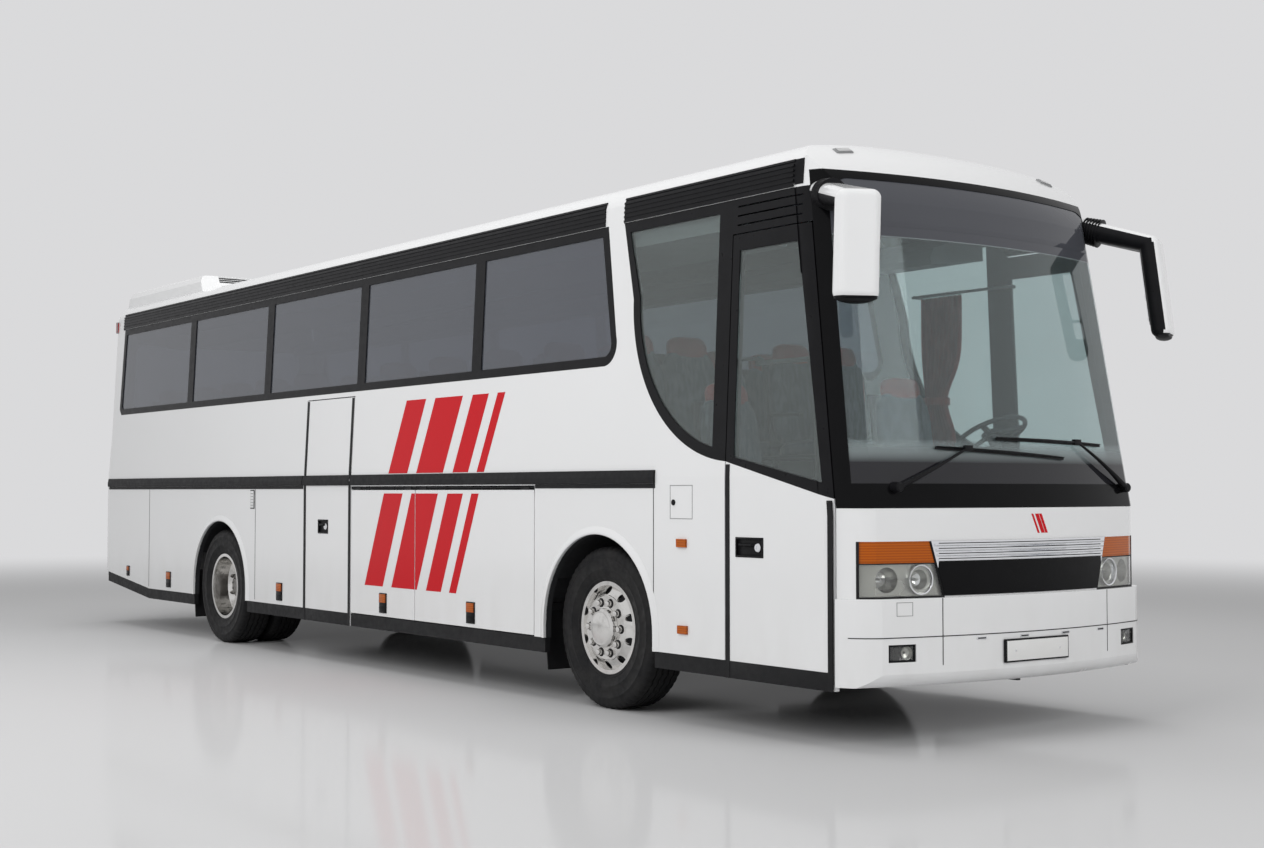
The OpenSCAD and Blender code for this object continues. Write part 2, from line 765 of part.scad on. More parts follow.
// Mirrors hung on arms from the roof's front corners
// Columns: foot, elbow, tip, all as [x, y, z]
mirror_foot = [pillar_x(3080) + 25, 1095, 3085];
right_mirror = [[mirror_foot.x, -mirror_foot.y, mirror_foot.z],
  [x_fa + 2440, -1270, 2965], [x_fa + 2461, -1310, 2460]];
left_mirror = [mirror_foot, [x_fa + 2412, 1270, 2934], [x_fa + 2461, 1310, 2400]];
mirror_yaw = 28;
mirror_half = 75;
module mirror_end(p, yaw) {
  for (y = [-mirror_half, mirror_half])
    translate(p) rotate([0, 0, yaw]) translate([0, y, 0]) scale([1.15, 1, 1]) sphere(52, $fn = 32);
}
module mirror_arm(path, yaw) {
  color(white) {
    hull() {
      translate(path[0]) sphere(66, $fn = 32);
      mirror_end(path[1], yaw);
    }
    hull() for (p = [path[1], path[2]]) mirror_end(p, yaw);
  }
}
module mirrors() {
  difference() {
    union() {
      mirror_arm(right_mirror, -mirror_yaw);
      mirror_arm(left_mirror, mirror_yaw);
    }
    front_form(0, front_start);
  }
}

// Two wipers parked above the screen's foot: arms from pivots in the frame, blades that follow the glass
// Columns: pivot y, arm end y, blade start and blade end as [y, z]
wiper_table = [
  [-950, -450, [-660, 1637], [360, 1586]],
  [1020, 500, [780, 1670], [-210, 1693]]
];
wiper_z = 1425;
blade_h = 22;
blade_t = 16;
blade_off = 4;
function screen_x(y, z) = front_cx + sqrt(pow(mask_r - max(0, z - belt_z) * rake_slope, 2) - y * y);
module rod(p, q, r) {
  v = q - p;
  translate(p) rotate([0, acos(v.z / norm(v)), atan2(v.y, v.x)]) cylinder(r = r, h = norm(v), $fn = 24);
}
module wiper_blade(a, b) {
  v = b - a;
  intersection() {
    front_shell(-blade_off - blade_t, -blade_off);
    along_x(front_start, x_front) translate(a) rotate(atan2(v.y, v.x)) rect(0, 0, norm(v), blade_h);
  }
}
module wipers() {
  color(black) for (w = wiper_table) {
    a = w[2];
    b = w[3];
    end_z = a.y + (b.y - a.y) * (w[1] - a.x) / (b.x - a.x) + blade_h / 2;
    arm_x = screen_x(w[0], wiper_z) + 26;
    difference() {
      translate([arm_x - 80, w[0], wiper_z]) rotate([0, 90, 0]) cylinder(r = 26, h = 92);
      front_form(0, front_start);
    }
    rod([arm_x, w[0], wiper_z], [screen_x(w[1], end_z) + 18, w[1], end_z], 11);
    wiper_blade(a, b);
  }
}

// Front door: white leaf below the sweep, black frame above, swung out on a column with two arms
arm_len = 500;
arm_y = -1105;
column_x = door_rear_x + 640;
arm_zs = [760, 2150];
recess_t = 18;
recess_h = 100;
module door_skin(d0, d1) {
  difference() {
    side_skin(d0, d1, door_rear_x - 20, door_front_x + 20);
    corner_low(d0, mask_r);
    corner_high(d0, mask_r);
  }
}
module arm_brackets(x, zs) {
  for (z = zs) difference() {
    union() {
      box([x - 30, -side_y(z) + wall - 5, z + 14], [x + 30, arm_y, z + 32]);
      translate([x, arm_y, z + 14]) cylinder(r = 30, h = 18);
    }
    translate([x, arm_y, z]) cylinder(r = 12 + fit, h = 60);
  }
}
module front_door() {
  color(white) {
    difference() {
      intersection() {
        door_skin(0, wall);
        along_y(-half_w - 10, 0) difference() {
          door_outline(0, sill_z);
          above_sweep(door_rear_x - 50, x_front);
        }
      }
      translate([door_rear_x, -half_w, 1030]) box([100, -5, 0], [330, recess_t, recess_h]);
    }
    arm_brackets(column_x - arm_len, [arm_zs[0]]);
  }
}
module front_door_frame() {
  color(black) {
    intersection() {
      door_skin(0, wall);
      along_y(-half_w - 10, 0) difference() {
        intersection() { door_outline(0, sill_z); above_sweep(door_rear_x - 50, x_front); }
        door_pane();
      }
    }
    arm_brackets(column_x - arm_len, [arm_zs[1]]);
    box([door_rear_x + 12, -side_y(arm_zs[1]) + wall - 4, arm_zs[1] + 14],
      [column_x - arm_len, -side_y(arm_zs[1]) + wall + 30, arm_zs[1] + 32]);
  }
}
module front_door_glass() {
  color(glass) intersection() {
    side_skin(glass_inset, glass_inset + glass_t, door_rear_x, door_front_x);
    along_y(-half_w - 10, 0) door_pane();
  }
}
module swing_arm(x, len, zs, z0, z1) {
  color(steel) {
    translate([x, arm_y, z0]) cylinder(r = column_r, h = z1 - z0);
    for (z = zs) {
      box([min(x, x + len), arm_y - 14, z - 14], [max(x, x + len), arm_y + 14, z + 14 - fit]);
      translate([x + len, arm_y, z - 14]) cylinder(r = 24, h = 28 - fit);
      translate([x + len, arm_y, z]) cylinder(r = 12, h = 40);
    }
  }
}
module front_door_arm() { swing_arm(column_x, -arm_len, arm_zs, step_z + fit, 2230); }

// Middle door below the windows, swung out to the rear
mid_arm_len = 420;
mid_column_x = mid_rear_x + 130;
mid_arm_zs = [760, 1900];
module mid_door() {
  color(white) {
    difference() {
      intersection() {
        side_skin(0, wall, mid_rear_x, mid_front_x);
        along_y(-half_w - 10, 0) rect(mid_rear_x, sill_z, mid_front_x, mid_door_top);
      }
      translate([mid_rear_x, -half_w, 1060]) box([280, -5, 0], [450, recess_t, recess_h]);
    }
    waist_rail(mid_rear_x, mid_front_x, 2);
    arm_brackets(mid_column_x + mid_arm_len, mid_arm_zs);
  }
}
module mid_door_arm() { swing_arm(mid_column_x, mid_arm_len, mid_arm_zs, bay_z + fit, 1980); }

// Luggage flaps, hung on the rods below the waist rails
module flap(i) {
  f = flaps[i];
  x0 = f[2] + door_gap / 2;
  x1 = f[3] - door_gap / 2;
  color(white) on_side(f[1]) difference() {
    union() {
      box([x0, -half_w, skirt_z + door_gap], [x1, -half_w + wall, flap_top - 30]);
      for (x = [x0 + 60, x1 - 160]) {
        box([x, -half_w + 1, flap_top - 40], [x + 100, -half_w + 2 * hinge_r + 7, hinge_z]);
        translate([x, hinge_y, hinge_z]) rotate([0, 90, 0]) cylinder(r = hinge_r + 4, h = 100);
      }
      box([x0, -half_w, flap_top - 31], [x1, -half_w + 3, flap_top - 6]);
    }
    translate([x0 - 50, hinge_y, hinge_z]) rotate([0, 90, 0])
      cylinder(r = hinge_r + fit, h = x1 - x0 + 100);
  }
}
module right_flap_rear() { flap(0); }
module right_flap_front() { flap(1); }
module left_flap_rear() { flap(2); }
module left_flap_front() { flap(3); }

// Floors
inner_w = half_w - wall;
bay_rear = x_ra + 700;
bay_front = x_fa - 700;
cab_rear = x_fa + 680;
module passenger_deck() {
  color(dark) difference() {
    box([x_rear + rear_corner_r, -inner_w, deck_z - plate], [cab_rear, inner_w, deck_z]);
    box([mid_rear_x - 10, -half_w, 0], [mid_front_x + 10, -520, deck_z + 5]);
  }
}
jack_xs = [bay_rear + 180, bay_front - 180];
jack_y = 900;
module luggage_bay() {
  color(dark) {
    box([bay_rear, -inner_w, bay_z - plate], [bay_front, inner_w, bay_z]);
    for (x = [bay_rear, bay_front - plate, mid_front_x + 20])
      box([x, -inner_w, bay_z - 1], [x + plate, inner_w, deck_z - plate]);
    box([bay_rear, -480, bay_z - 1], [mid_front_x + 21, -440, deck_z - plate]);
    both_sides() {
      box([bay_rear, -inner_w, sill_z + 10], [bay_front, -inner_w + 60, bay_z - 1]);
      for (x = jack_xs) translate([x, -jack_y, bay_z - plate - 30]) cylinder(r = 60, h = 31);
    }
  }
}
cab_front = x_front - 480;
well_y = -420;
tow_eye = [x_front - 560, 400, 310];
module cab_floor() {
  color(dark) {
    box([cab_rear, -inner_w, cab_z - plate], [door_rear_x - 20, inner_w, cab_z]);
    box([door_rear_x - 21, well_y, cab_z - plate], [cab_front, inner_w, cab_z]);
    box([cab_rear, -inner_w, cab_z - 1], [cab_rear + plate, inner_w, deck_z - plate]);
    box([cab_rear, -inner_w, sill_z + 100], [cab_rear + plate, inner_w, cab_z]);
    box([door_rear_x - 60, -inner_w, step_z - plate], [cab_front, well_y, step_z]);
    box([door_rear_x - 60, -inner_w, step_z - 1], [door_rear_x - 20, well_y, cab_z]);
    box([door_rear_x - 60, well_y - plate, step_z - 1], [cab_front, well_y, cab_z]);
    box([cab_front - plate, -inner_w + 120, step_z - 1], [cab_front, inner_w - 120, cab_z]);
    // towing eye
    translate(tow_eye) difference() {
      box([-50, -15, -45], [80, 15, step_z + 60 - tow_eye.z]);
      rotate([90, 0, 0]) cylinder(r = 20, h = 60, center = true);
    }
  }
}
rail_y = 430;
module axle_rails() {
  color(steel) both_sides() {
    box([bay_front, -rail_y - 40, 740], [cab_rear, -rail_y + 40, 880]);
    box([x_rear + 260, -rail_y - 40, 740], [bay_rear, -rail_y + 40, 880]);
  }
}
// Engine block and gearbox fill fixed shares of the rear overhang
overhang = x_ra - x_rear;
block_rear = x_rear + 0.095 * overhang;
block_front = x_rear + 0.475 * overhang;
gearbox_front = x_rear + 0.633 * overhang;
module engine() {
  color(steel) {
    box([block_rear, -rail_y + 40, 470], [block_front, rail_y - 40, 1150]);
    translate([block_front - 1, 0, 600]) rotate([0, 90, 0])
      cylinder(r = 190, h = gearbox_front - block_front + 1);
  }
}

// Inside
driver_y = 630;
wheel_c = [x_front - 890, driver_y, 1760];
wheel_tilt = -28;
steer_r = 35;
module on_steering_axis() { translate(wheel_c) rotate([0, wheel_tilt, 0]) children(); }
module dashboard() {
  color(dark) difference() {
    union() {
      dash_body();
      on_steering_axis() translate([0, 0, -420]) cylinder(r = steer_r + 20, h = 180);
    }
    on_steering_axis() translate([0, 0, -430]) cylinder(r = steer_r + fit, h = 200);
  }
}
module dash_body() {
  union() {
    along_y(-inner_w + 160, inner_w - 160) translate([x_front, 0]) polygon([[-480, cab_z], [-480, 1290],
      [-440, 1330], [-760, 1400], [-800, 1330], [-620, 1250], [-620, cab_z]]);
    translate([x_front - 800, driver_y, 1380]) along_y(-260, 260)
      polygon([[0, -40], [60, 130], [170, 110], [200, -40]]);
  }
}
module steering_wheel() {
  color(black) on_steering_axis() {
    rotate_extrude($fn = 64) translate([225, 0]) circle(15, $fn = 24);
    cylinder(r = 60, h = 30, center = true);
    for (a = [60, 180, 300]) rotate([0, 0, a]) box([40, -18, -8], [220, 18, 8]);
    translate([0, 0, -330]) cylinder(r = steer_r, h = 330);
  }
}
// Seat outlines seen from the left, as [x, z] above the floor
cushion = [[-250, 330], [230, 350], [250, 400], [225, 450], [-150, 440], [-300, 420]];
backrest = [[-152, 440 + fit], [-203, 780], [-260, 1130], [-300, 1160], [-350, 1140], [-345, 780],
  [-300, 420 + fit]];
back_gap = 14;
module seat(w, leg_w, lift, places) {
  along_y(-w / 2, w / 2) polygon(cushion);
  if (places == 1) along_y(-w / 2, w / 2) polygon(backrest);
  else both_sides() along_y(back_gap, w / 2) polygon(backrest);
  along_y(-leg_w / 2, leg_w / 2) polygon([[-180, -lift], [120, -lift], [120, 345], [-180, 332.5]]);
}
// Columns: x, y, lift, width
cab_seat_table = [
  [x_front - 1390, driver_y, 80, 480],
  [x_fa + 1020, -760, 0, 460]
];
module cab_seats() {
  color(dark) for (c = cab_seat_table) translate([c[0], c[1], cab_z + c[2]]) seat(c[3], 320, c[2], 1);
}
seat_pitch = 800;
row_first = x_fa + 250;
rows = 11;
pair_y = 700;
pair_w = 900;
module passenger_seats() {
  color(dark) for (i = [0:rows - 1], s = [-1, 1]) {
    x = row_first - i * seat_pitch;
    by_stairs = s < 0 && x > mid_rear_x - 120 && x < mid_front_x + 300;
    if (!by_stairs) translate([x, s * pair_y, deck_z]) seat(pair_w, 80, 0, 2);
  }
}
module seats() {
  cab_seats();
  passenger_seats();
}
rack_z = [2960, 3160];
module parcel_racks() {
  color(dark) both_sides() along_x(x_rear + 700, x_fa + 1150)
    polygon([[-side_y(rack_z[0]) + wall + fit, rack_z[0]], [-640, 2900], [-620, 2940], [-660, 3010],
      [-side_y(rack_z[1]) + wall + fit, rack_z[1]]]);
}

// Running gear
axle_z = tyre_r;
front_mid = front_track_face - tyre_w / 2;
rear_outer_mid = rear_track_face - tyre_w / 2;
rear_inner_mid = rear_outer_mid - tyre_w - twin_gap;
spindle_r = 42;
module air_spring(x, y, z0, z1) { translate([x, y, z0]) cylinder(r = 110, h = z1 - z0); }
module front_axle() {
  color(steel) difference() {
    union() {
      box([x_fa - 55, -kingpin_y + 105, axle_z - 130], [x_fa + 55, kingpin_y - 105, axle_z - 20]);
      both_sides() {
        translate([x_fa, -kingpin_y, axle_z - 60]) cylinder(r = 50, h = 120);
        box([x_fa - 50, -kingpin_y, axle_z - 60], [x_fa + 50, -kingpin_y + 120, axle_z - 20]);
        air_spring(x_fa, -rail_y, axle_z - 21, 740);
      }
    }
    both_sides() translate([x_fa, -kingpin_y, 0]) cylinder(r = 22 + fit, h = 1200);
  }
}
module knuckle(s) {
  color(steel) on_side(s) translate([x_fa, -kingpin_y, axle_z]) {
    cylinder(r = 22, h = 260, center = true);
    for (z = [-110, 66]) translate([0, 0, z]) {
      cylinder(r = 48, h = 44);
      box([-45, -110, 0], [45, 0, 44]);
    }
    box([-60, -150, -110], [60, -90, 110]);
    translate([0, -120, 0]) rotate([90, 0, 0])
      cylinder(r = spindle_r, h = front_track_face - kingpin_y - 110);
  }
}
module right_knuckle() { knuckle(-1); }
module left_knuckle() { knuckle(1); }
module rear_axle() {
  color(steel) {
    translate([x_ra, 0, axle_z]) {
      rotate([90, 0, 0]) cylinder(r = 85, h = 2 * (rear_inner_mid - tyre_w / 2 - 30), center = true);
      sphere(230);
      rotate([90, 0, 0]) cylinder(r = spindle_r, h = 2 * (rear_outer_mid - 20), center = true);
    }
    both_sides() air_spring(x_ra, -rail_y, axle_z + 60, 740);
  }
}
// Half of the tyre's outline from bead to tread, as [radius, inset from the side face]
tyre_half = [[bead_r, 45], [bead_r + 10, 28], [bead_r + 90, 2], [bead_r + 140, 0],
  [tyre_r - 45, 5], [tyre_r - 14, 18], [tyre_r, 40]];
groove_ys = [-70, -23, 23, 70];
groove_t = 14;
groove_half = 5;
module tyre_profile() {
  h = tyre_w / 2;
  difference() {
    polygon(concat(
      [for (p = tyre_half) [p[0], p[1] - h]],
      [for (i = [len(tyre_half) - 1:-1:0]) [tyre_half[i][0], h - tyre_half[i][1]]]));
    for (y = groove_ys) rect(tyre_r - groove_t, y - groove_half, tyre_r + groove_half, y + groove_half);
  }
}
module tyre() { rotate([90, 0, 0]) rotate_extrude($fn = 96) tyre_profile(); }
// Half of the barrel's outline from inner face to lip, as [radius, distance out], both from the bead
rim_half = [[-26, -30], [-18, 20], [8, 20], [8, 14.1], [0, 0.5]];
// Rim: barrel with flanges, coned disc whose face lies d out from the middle, closed hub, holes, nuts
wheel_nuts = 10;
nut_ring = 167;
hole_ring = 237;
module around() { for (i = [1:wheel_nuts]) rotate(i * 360 / wheel_nuts) children(); }
module rim(d, nose, hub_r) {
  h = tyre_w / 2 - 45;
  b = bead_r - fit;
  k = sign(d);
  rotate([90, 0, 0]) {
    difference() {
      union() {
        rotate_extrude($fn = 96) {
          polygon(concat(
            [for (p = rim_half) [b + p[0], -h - p[1]]],
            [for (i = [len(rim_half) - 1:-1:0]) [b + rim_half[i][0], h + rim_half[i][1]]]));
          polygon([[b - 20, k * 34], [212, d], [spindle_r, d], [spindle_r, d - k * 16],
            [204, d - k * 16], [b - 20, k * 10]]);
          polygon([[spindle_r, d - 70], [86, d - 70], [86, d - 1], [hub_r, d - 1],
            [hub_r, d + nose - 14], [hub_r - 16, d + nose], [spindle_r, d + nose]]);
        }
        around() translate([nut_ring, 0, d - 1]) cylinder(r = 17, h = 30, $fn = 6);
      }
      translate([0, 0, -400]) cylinder(r = spindle_r + fit, h = 800);
      rotate(180 / wheel_nuts) around() translate([hole_ring, 0, -200]) cylinder(r = 22, h = 400);
    }
    if (nose > 0) translate([0, 0, d + nose - 24]) cylinder(r = spindle_r + 12, h = 20);
  }
}
module front_wheel(s, part) {
  on_side(s) translate([x_fa, -front_mid, axle_z]) {
    if (part == "tyre") color(rubber) tyre();
    else color(chrome) rim(138, 45, 125);
  }
}
module rear_wheels(s, part) {
  on_side(s) {
    if (part == "tyre") color(rubber) for (y = [rear_outer_mid, rear_inner_mid])
      translate([x_ra, -y, axle_z]) tyre();
    else color(chrome) {
      translate([x_ra, -rear_outer_mid, axle_z]) rim(-(twin_gap + tyre_w) / 2, 170, 112);
      translate([x_ra, -rear_inner_mid, axle_z]) rim((twin_gap + tyre_w) / 2, -1, 112);
    }
  }
}
module front_right_rim() { front_wheel(-1, "rim"); }
module front_right_tyre() { front_wheel(-1, "tyre"); }
module front_left_rim() { front_wheel(1, "rim"); }
module front_left_tyre() { front_wheel(1, "tyre"); }
module rear_right_rims() { rear_wheels(-1, "rim"); }
module rear_right_tyres() { rear_wheels(-1, "tyre"); }
module rear_left_rims() { rear_wheels(1, "rim"); }
module rear_left_tyres() { rear_wheels(1, "tyre"); }

right_wall();
left_wall();
roof();
mask();
screen_frame();
windscreen();
front_bumper();
rear_wall();
rear_glass();
rear_bumper();
engine_flap();
window_frames();
side_glass();
cove_grilles();
side_trim();
roof_unit();
lamp_housings();
headlamps();
amber_lamps();
grille();
tail_lamps();
mirrors();
wipers();
front_door();
front_door_frame();
front_door_glass();
front_door_arm();
mid_door();
mid_door_arm();
right_flap_rear();
right_flap_front();
left_flap_rear();
left_flap_front();
passenger_deck();
luggage_bay();
cab_floor();
axle_rails();
engine();
dashboard();
steering_wheel();
seats();
parcel_racks();
front_axle();
rear_axle();
right_knuckle();
left_knuckle();
front_right_rim();
front_right_tyre();
front_left_rim();
front_left_tyre();
rear_right_rims();
rear_right_tyres();
rear_left_rims();
rear_left_tyres();
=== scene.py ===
import json
import math

import bmesh
import bpy
from mathutils import Matrix, Vector


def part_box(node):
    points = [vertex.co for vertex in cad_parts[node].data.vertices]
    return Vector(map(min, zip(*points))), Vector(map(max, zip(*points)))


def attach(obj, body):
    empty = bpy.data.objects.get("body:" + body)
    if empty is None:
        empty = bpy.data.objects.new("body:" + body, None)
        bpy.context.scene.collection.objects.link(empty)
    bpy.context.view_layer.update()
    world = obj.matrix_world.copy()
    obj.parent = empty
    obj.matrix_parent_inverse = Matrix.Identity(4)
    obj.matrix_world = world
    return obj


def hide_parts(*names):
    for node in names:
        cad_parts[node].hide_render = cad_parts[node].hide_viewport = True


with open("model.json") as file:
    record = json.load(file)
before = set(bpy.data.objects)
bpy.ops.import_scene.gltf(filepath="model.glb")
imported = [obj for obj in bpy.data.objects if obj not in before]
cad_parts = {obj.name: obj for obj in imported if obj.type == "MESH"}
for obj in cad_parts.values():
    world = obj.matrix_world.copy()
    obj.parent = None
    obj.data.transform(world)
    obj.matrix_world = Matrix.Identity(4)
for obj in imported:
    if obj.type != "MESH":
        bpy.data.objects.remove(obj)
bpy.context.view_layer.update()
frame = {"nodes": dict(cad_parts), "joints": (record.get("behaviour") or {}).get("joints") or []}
scene = bpy.context.scene
scene.view_settings.view_transform = "Standard"
nodes = frame["nodes"]
jointAt = {j["name"]: Vector(j["pos_m"]) for j in frame["joints"]}

# main sizes of the body, in metres, taken from the frame where it holds them
body = {
    "halfWidth": 1.25, "waistZ": 1.49, "sideLean": 0.086, "corniceZ": 3.29,
    "frontR": 4.2, "proud": 0.04, "cornerR": 0.28, "cornerEase": 0.002, "cornerRun": 0.27, "beltZ": 1.31,
    "rake": math.radians(9.2), "skirtZ": 0.42, "rearLean": 0.14,
}
halfW = body["halfWidth"]
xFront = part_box("front_bumper")[1].x
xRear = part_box("rear_wall")[0].x
xFa = jointAt["steer_left"].x  # front axle
xRa = jointAt["rear_left_spin"].x  # rear axle
axleZ = jointAt["steer_left"].z
frontCx = xFront - body["frontR"]
maskR = body["frontR"] - body["proud"]
cornerY = halfW - body["cornerR"] + body["cornerEase"]
cornerTurn = math.asin(cornerY / (maskR - body["cornerR"]))
openings = {"doorBack": 1.30, "doorWide": 0.91, "midBack": 1.77, "midWide": 0.86, "flapBack": 0.74,
            "flapShare": 0.391}
doorRearX = xFa + openings["doorBack"]
doorFrontX = doorRearX + openings["doorWide"]
midRearX = xRa + openings["midBack"]
midFrontX = midRearX + openings["midWide"]
flapFront = xFa - openings["flapBack"]
flapSplit = midFrontX + openings["flapShare"] * (flapFront - midFrontX)


def lerp(a, b, t):
    return a + (b - a) * t


def leanAt(z, lean):
    return max(0.0, z - body["waistZ"]) * body[lean] / (body["corniceZ"] - body["waistZ"])


def sideY(z):
    return halfW - leanAt(z, "sideLean")


def rearX(z):
    return xRear + leanAt(z, "rearLean")


def frontX(y, z=1.0, out=0.0, bumper=False):
    # x of the front face at a place across and up, moved out by a little
    r = (body["frontR"] if bumper else maskR) - max(0.0, z - body["beltZ"]) * math.tan(body["rake"])
    cx = frontCx + math.sqrt((r - body["cornerR"] + body["cornerEase"]) ** 2 - cornerY ** 2)
    if abs(y) > cornerY and math.atan2(abs(y) - cornerY, body["cornerRun"]) > cornerTurn:
        return cx + math.sqrt(max(0.0, (body["cornerR"] + out) ** 2 - (abs(y) - cornerY) ** 2))
    return frontCx + math.sqrt((r + out) ** 2 - y * y)


print("frame loaded: front axle", round(xFa, 3), "rear axle", round(xRa, 3))


# camera at the photo's angle
cameraSet = {
    "place": (12.392, -7.634, 1.403), "turn": 53.627, "up": 2.246,
    "focalPixels": 1713.5, "photoWidth": 1264, "sensor": 36.0, "far": 300,
}


def makeCamera(c):
    data = bpy.data.cameras.new("camera")
    data.sensor_width = c["sensor"]
    data.sensor_fit = "HORIZONTAL"
    data.lens = c["focalPixels"] / c["photoWidth"] * c["sensor"]
    data.clip_end = c["far"]
    cam = bpy.data.objects.new("camera", data)
    cam.location = c["place"]
    cam.rotation_euler = (math.radians(90 + c["up"]), 0, math.radians(c["turn"]))
    scene.collection.objects.link(cam)
    scene.camera = cam


makeCamera(cameraSet)


# node helpers for the materials
def newMaterial(name):
    mat = bpy.data.materials.new(name)
    mat.use_nodes = True
    tree = mat.node_tree
    return mat, tree, tree.nodes["Principled BSDF"]


def addNode(tree, kind, **values):
    node = tree.nodes.new(kind)
    for key, value in values.items():
        if hasattr(node, key):
            setattr(node, key, value)
        else:
            node.inputs[key].default_value = value
    return node


def setShader(shader, **values):
    names = {"color": "Base Color", "rough": "Roughness", "metal": "Metallic", "coat": "Coat Weight",
             "coatRough": "Coat Roughness", "ior": "IOR", "clear": "Transmission Weight",
             "sheen": "Sheen Weight", "sheenRough": "Sheen Roughness", "specular": "Specular IOR Level"}
    for key, value in values.items():
        if isinstance(value, tuple) and len(value) == 3:
            value = (*value, 1.0)
        shader.inputs[names[key]].default_value = value


def place(tree):
    # coordinates that stay with the piece when it moves
    return addNode(tree, "ShaderNodeTexCoord").outputs["Object"]


def noise(tree, vector, scale, detail=3.0, stretch=(1, 1, 1)):
    if stretch != (1, 1, 1):
        mapping = addNode(tree, "ShaderNodeMapping")
        mapping.inputs["Scale"].default_value = stretch
        tree.links.new(vector, mapping.inputs["Vector"])
        vector = mapping.outputs["Vector"]
    node = addNode(tree, "ShaderNodeTexNoise", Scale=scale, Detail=detail)
    tree.links.new(vector, node.inputs["Vector"])
    return node.outputs["Fac"]


def spread(tree, value, low, high, fromLow=0.3, fromHigh=0.7, ease="LINEAR"):
    ends = {"From Min": fromLow, "From Max": fromHigh, "To Min": low, "To Max": high}
    node = addNode(tree, "ShaderNodeMapRange", interpolation_type=ease, **ends)
    tree.links.new(value, node.inputs["Value"])
    return node.outputs["Result"]


def wave(tree, vector, scale, direction="Z", distortion=0.0):
    node = addNode(tree, "ShaderNodeTexWave", Scale=scale, Distortion=distortion, bands_direction=direction)
    tree.links.new(vector, node.inputs["Vector"])
    return node.outputs["Fac"]


def feed(tree, socket, value):
    # a fixed value is set on the socket, an output is linked to it
    if isinstance(value, tuple):
        socket.default_value = (*value, 1.0)
    elif isinstance(value, (int, float)):
        socket.default_value = value
    else:
        tree.links.new(value, socket)


def mixColor(tree, factor, first, second):
    node = addNode(tree, "ShaderNodeMix", data_type="RGBA")
    for name, value in (("Factor_Float", factor), ("A_Color", first), ("B_Color", second)):
        feed(tree, next(i for i in node.inputs if i.identifier == name), value)
    return next(o for o in node.outputs if o.identifier == "Result_Color")


def mixShader(tree, share, first, second):
    node = addNode(tree, "ShaderNodeMixShader")
    for socket, value in zip(node.inputs, (share, first.outputs[0], second.outputs[0])):
        feed(tree, socket, value)
    return node


def math2(tree, kind, a, b, clamp=False):
    node = addNode(tree, "ShaderNodeMath", operation=kind, use_clamp=clamp)
    for socket, value in zip(node.inputs, (a, b)):
        feed(tree, socket, value)
    return node.outputs["Value"]


def axis(tree, vector, name):
    node = addNode(tree, "ShaderNodeSeparateXYZ")
    tree.links.new(vector, node.inputs["Vector"])
    return node.outputs[name]


def bump(tree, shader, height, strength, distance=0.002):
    node = addNode(tree, "ShaderNodeBump", Strength=strength, Distance=distance)
    tree.links.new(height, node.inputs["Height"])
    tree.links.new(node.outputs["Normal"], shader.inputs["Normal"])


def link(tree, value, shader, socket):
    tree.links.new(value, shader.inputs[socket])


# white coach paint: clear gloss, faint orange peel, road film towards the sill
paintSet = {"white": (0.83, 0.835, 0.84), "film": (0.63, 0.62, 0.60), "filmTop": 0.95, "filmLow": 0.30}


def makePaint(name, color, film, filmShare, coat=0.6, specular=0.5):
    mat, tree, shader = newMaterial(name)
    at = place(tree)
    low = spread(tree, axis(tree, at, "Z"), 1.0, 0.0, paintSet["filmLow"], paintSet["filmTop"])
    streaks = spread(tree, noise(tree, at, 5.0, 5.0, (1.0, 1.0, 0.35)), 0.0, 1.0, 0.35, 0.75)
    dirt = math2(tree, "MULTIPLY", math2(tree, "MULTIPLY", low, streaks), filmShare)
    cloud = spread(tree, noise(tree, at, 1.3), 0.0, 0.05)
    tone = mixColor(tree, cloud, color, film)
    link(tree, mixColor(tree, dirt, tone, film), shader, "Base Color")
    link(tree, spread(tree, dirt, 0.16, 0.42, 0.0, 0.6), shader, "Roughness")
    bump(tree, shader, noise(tree, at, 190.0, 1.0), 0.02, 0.001)
    setShader(shader, coat=coat, coatRough=0.05, specular=specular)
    return mat


whitePaint = makePaint("white_coach_paint", paintSet["white"], paintSet["film"], 0.35)
redPaint = makePaint("red_paint", (0.60, 0.003, 0.010), (0.40, 0.02, 0.02), 0.15, 0.0, 0.15)


def makeMoulded(name, color, rough, grain, grainDepth, pale, specular):
    # moulded plastic and rubber: grain in the surface, faded by weather in patches
    mat, tree, shader = newMaterial(name)
    at = place(tree)
    fade = spread(tree, noise(tree, at, 7.0, 4.0), 0.0, 0.22)
    link(tree, mixColor(tree, fade, color, pale), shader, "Base Color")
    link(tree, spread(tree, noise(tree, at, 23.0, 4.0), rough - 0.07, rough + 0.09), shader, "Roughness")
    bump(tree, shader, noise(tree, at, grain, 2.0), grainDepth, 0.001)
    setShader(shader, specular=specular)
    return mat


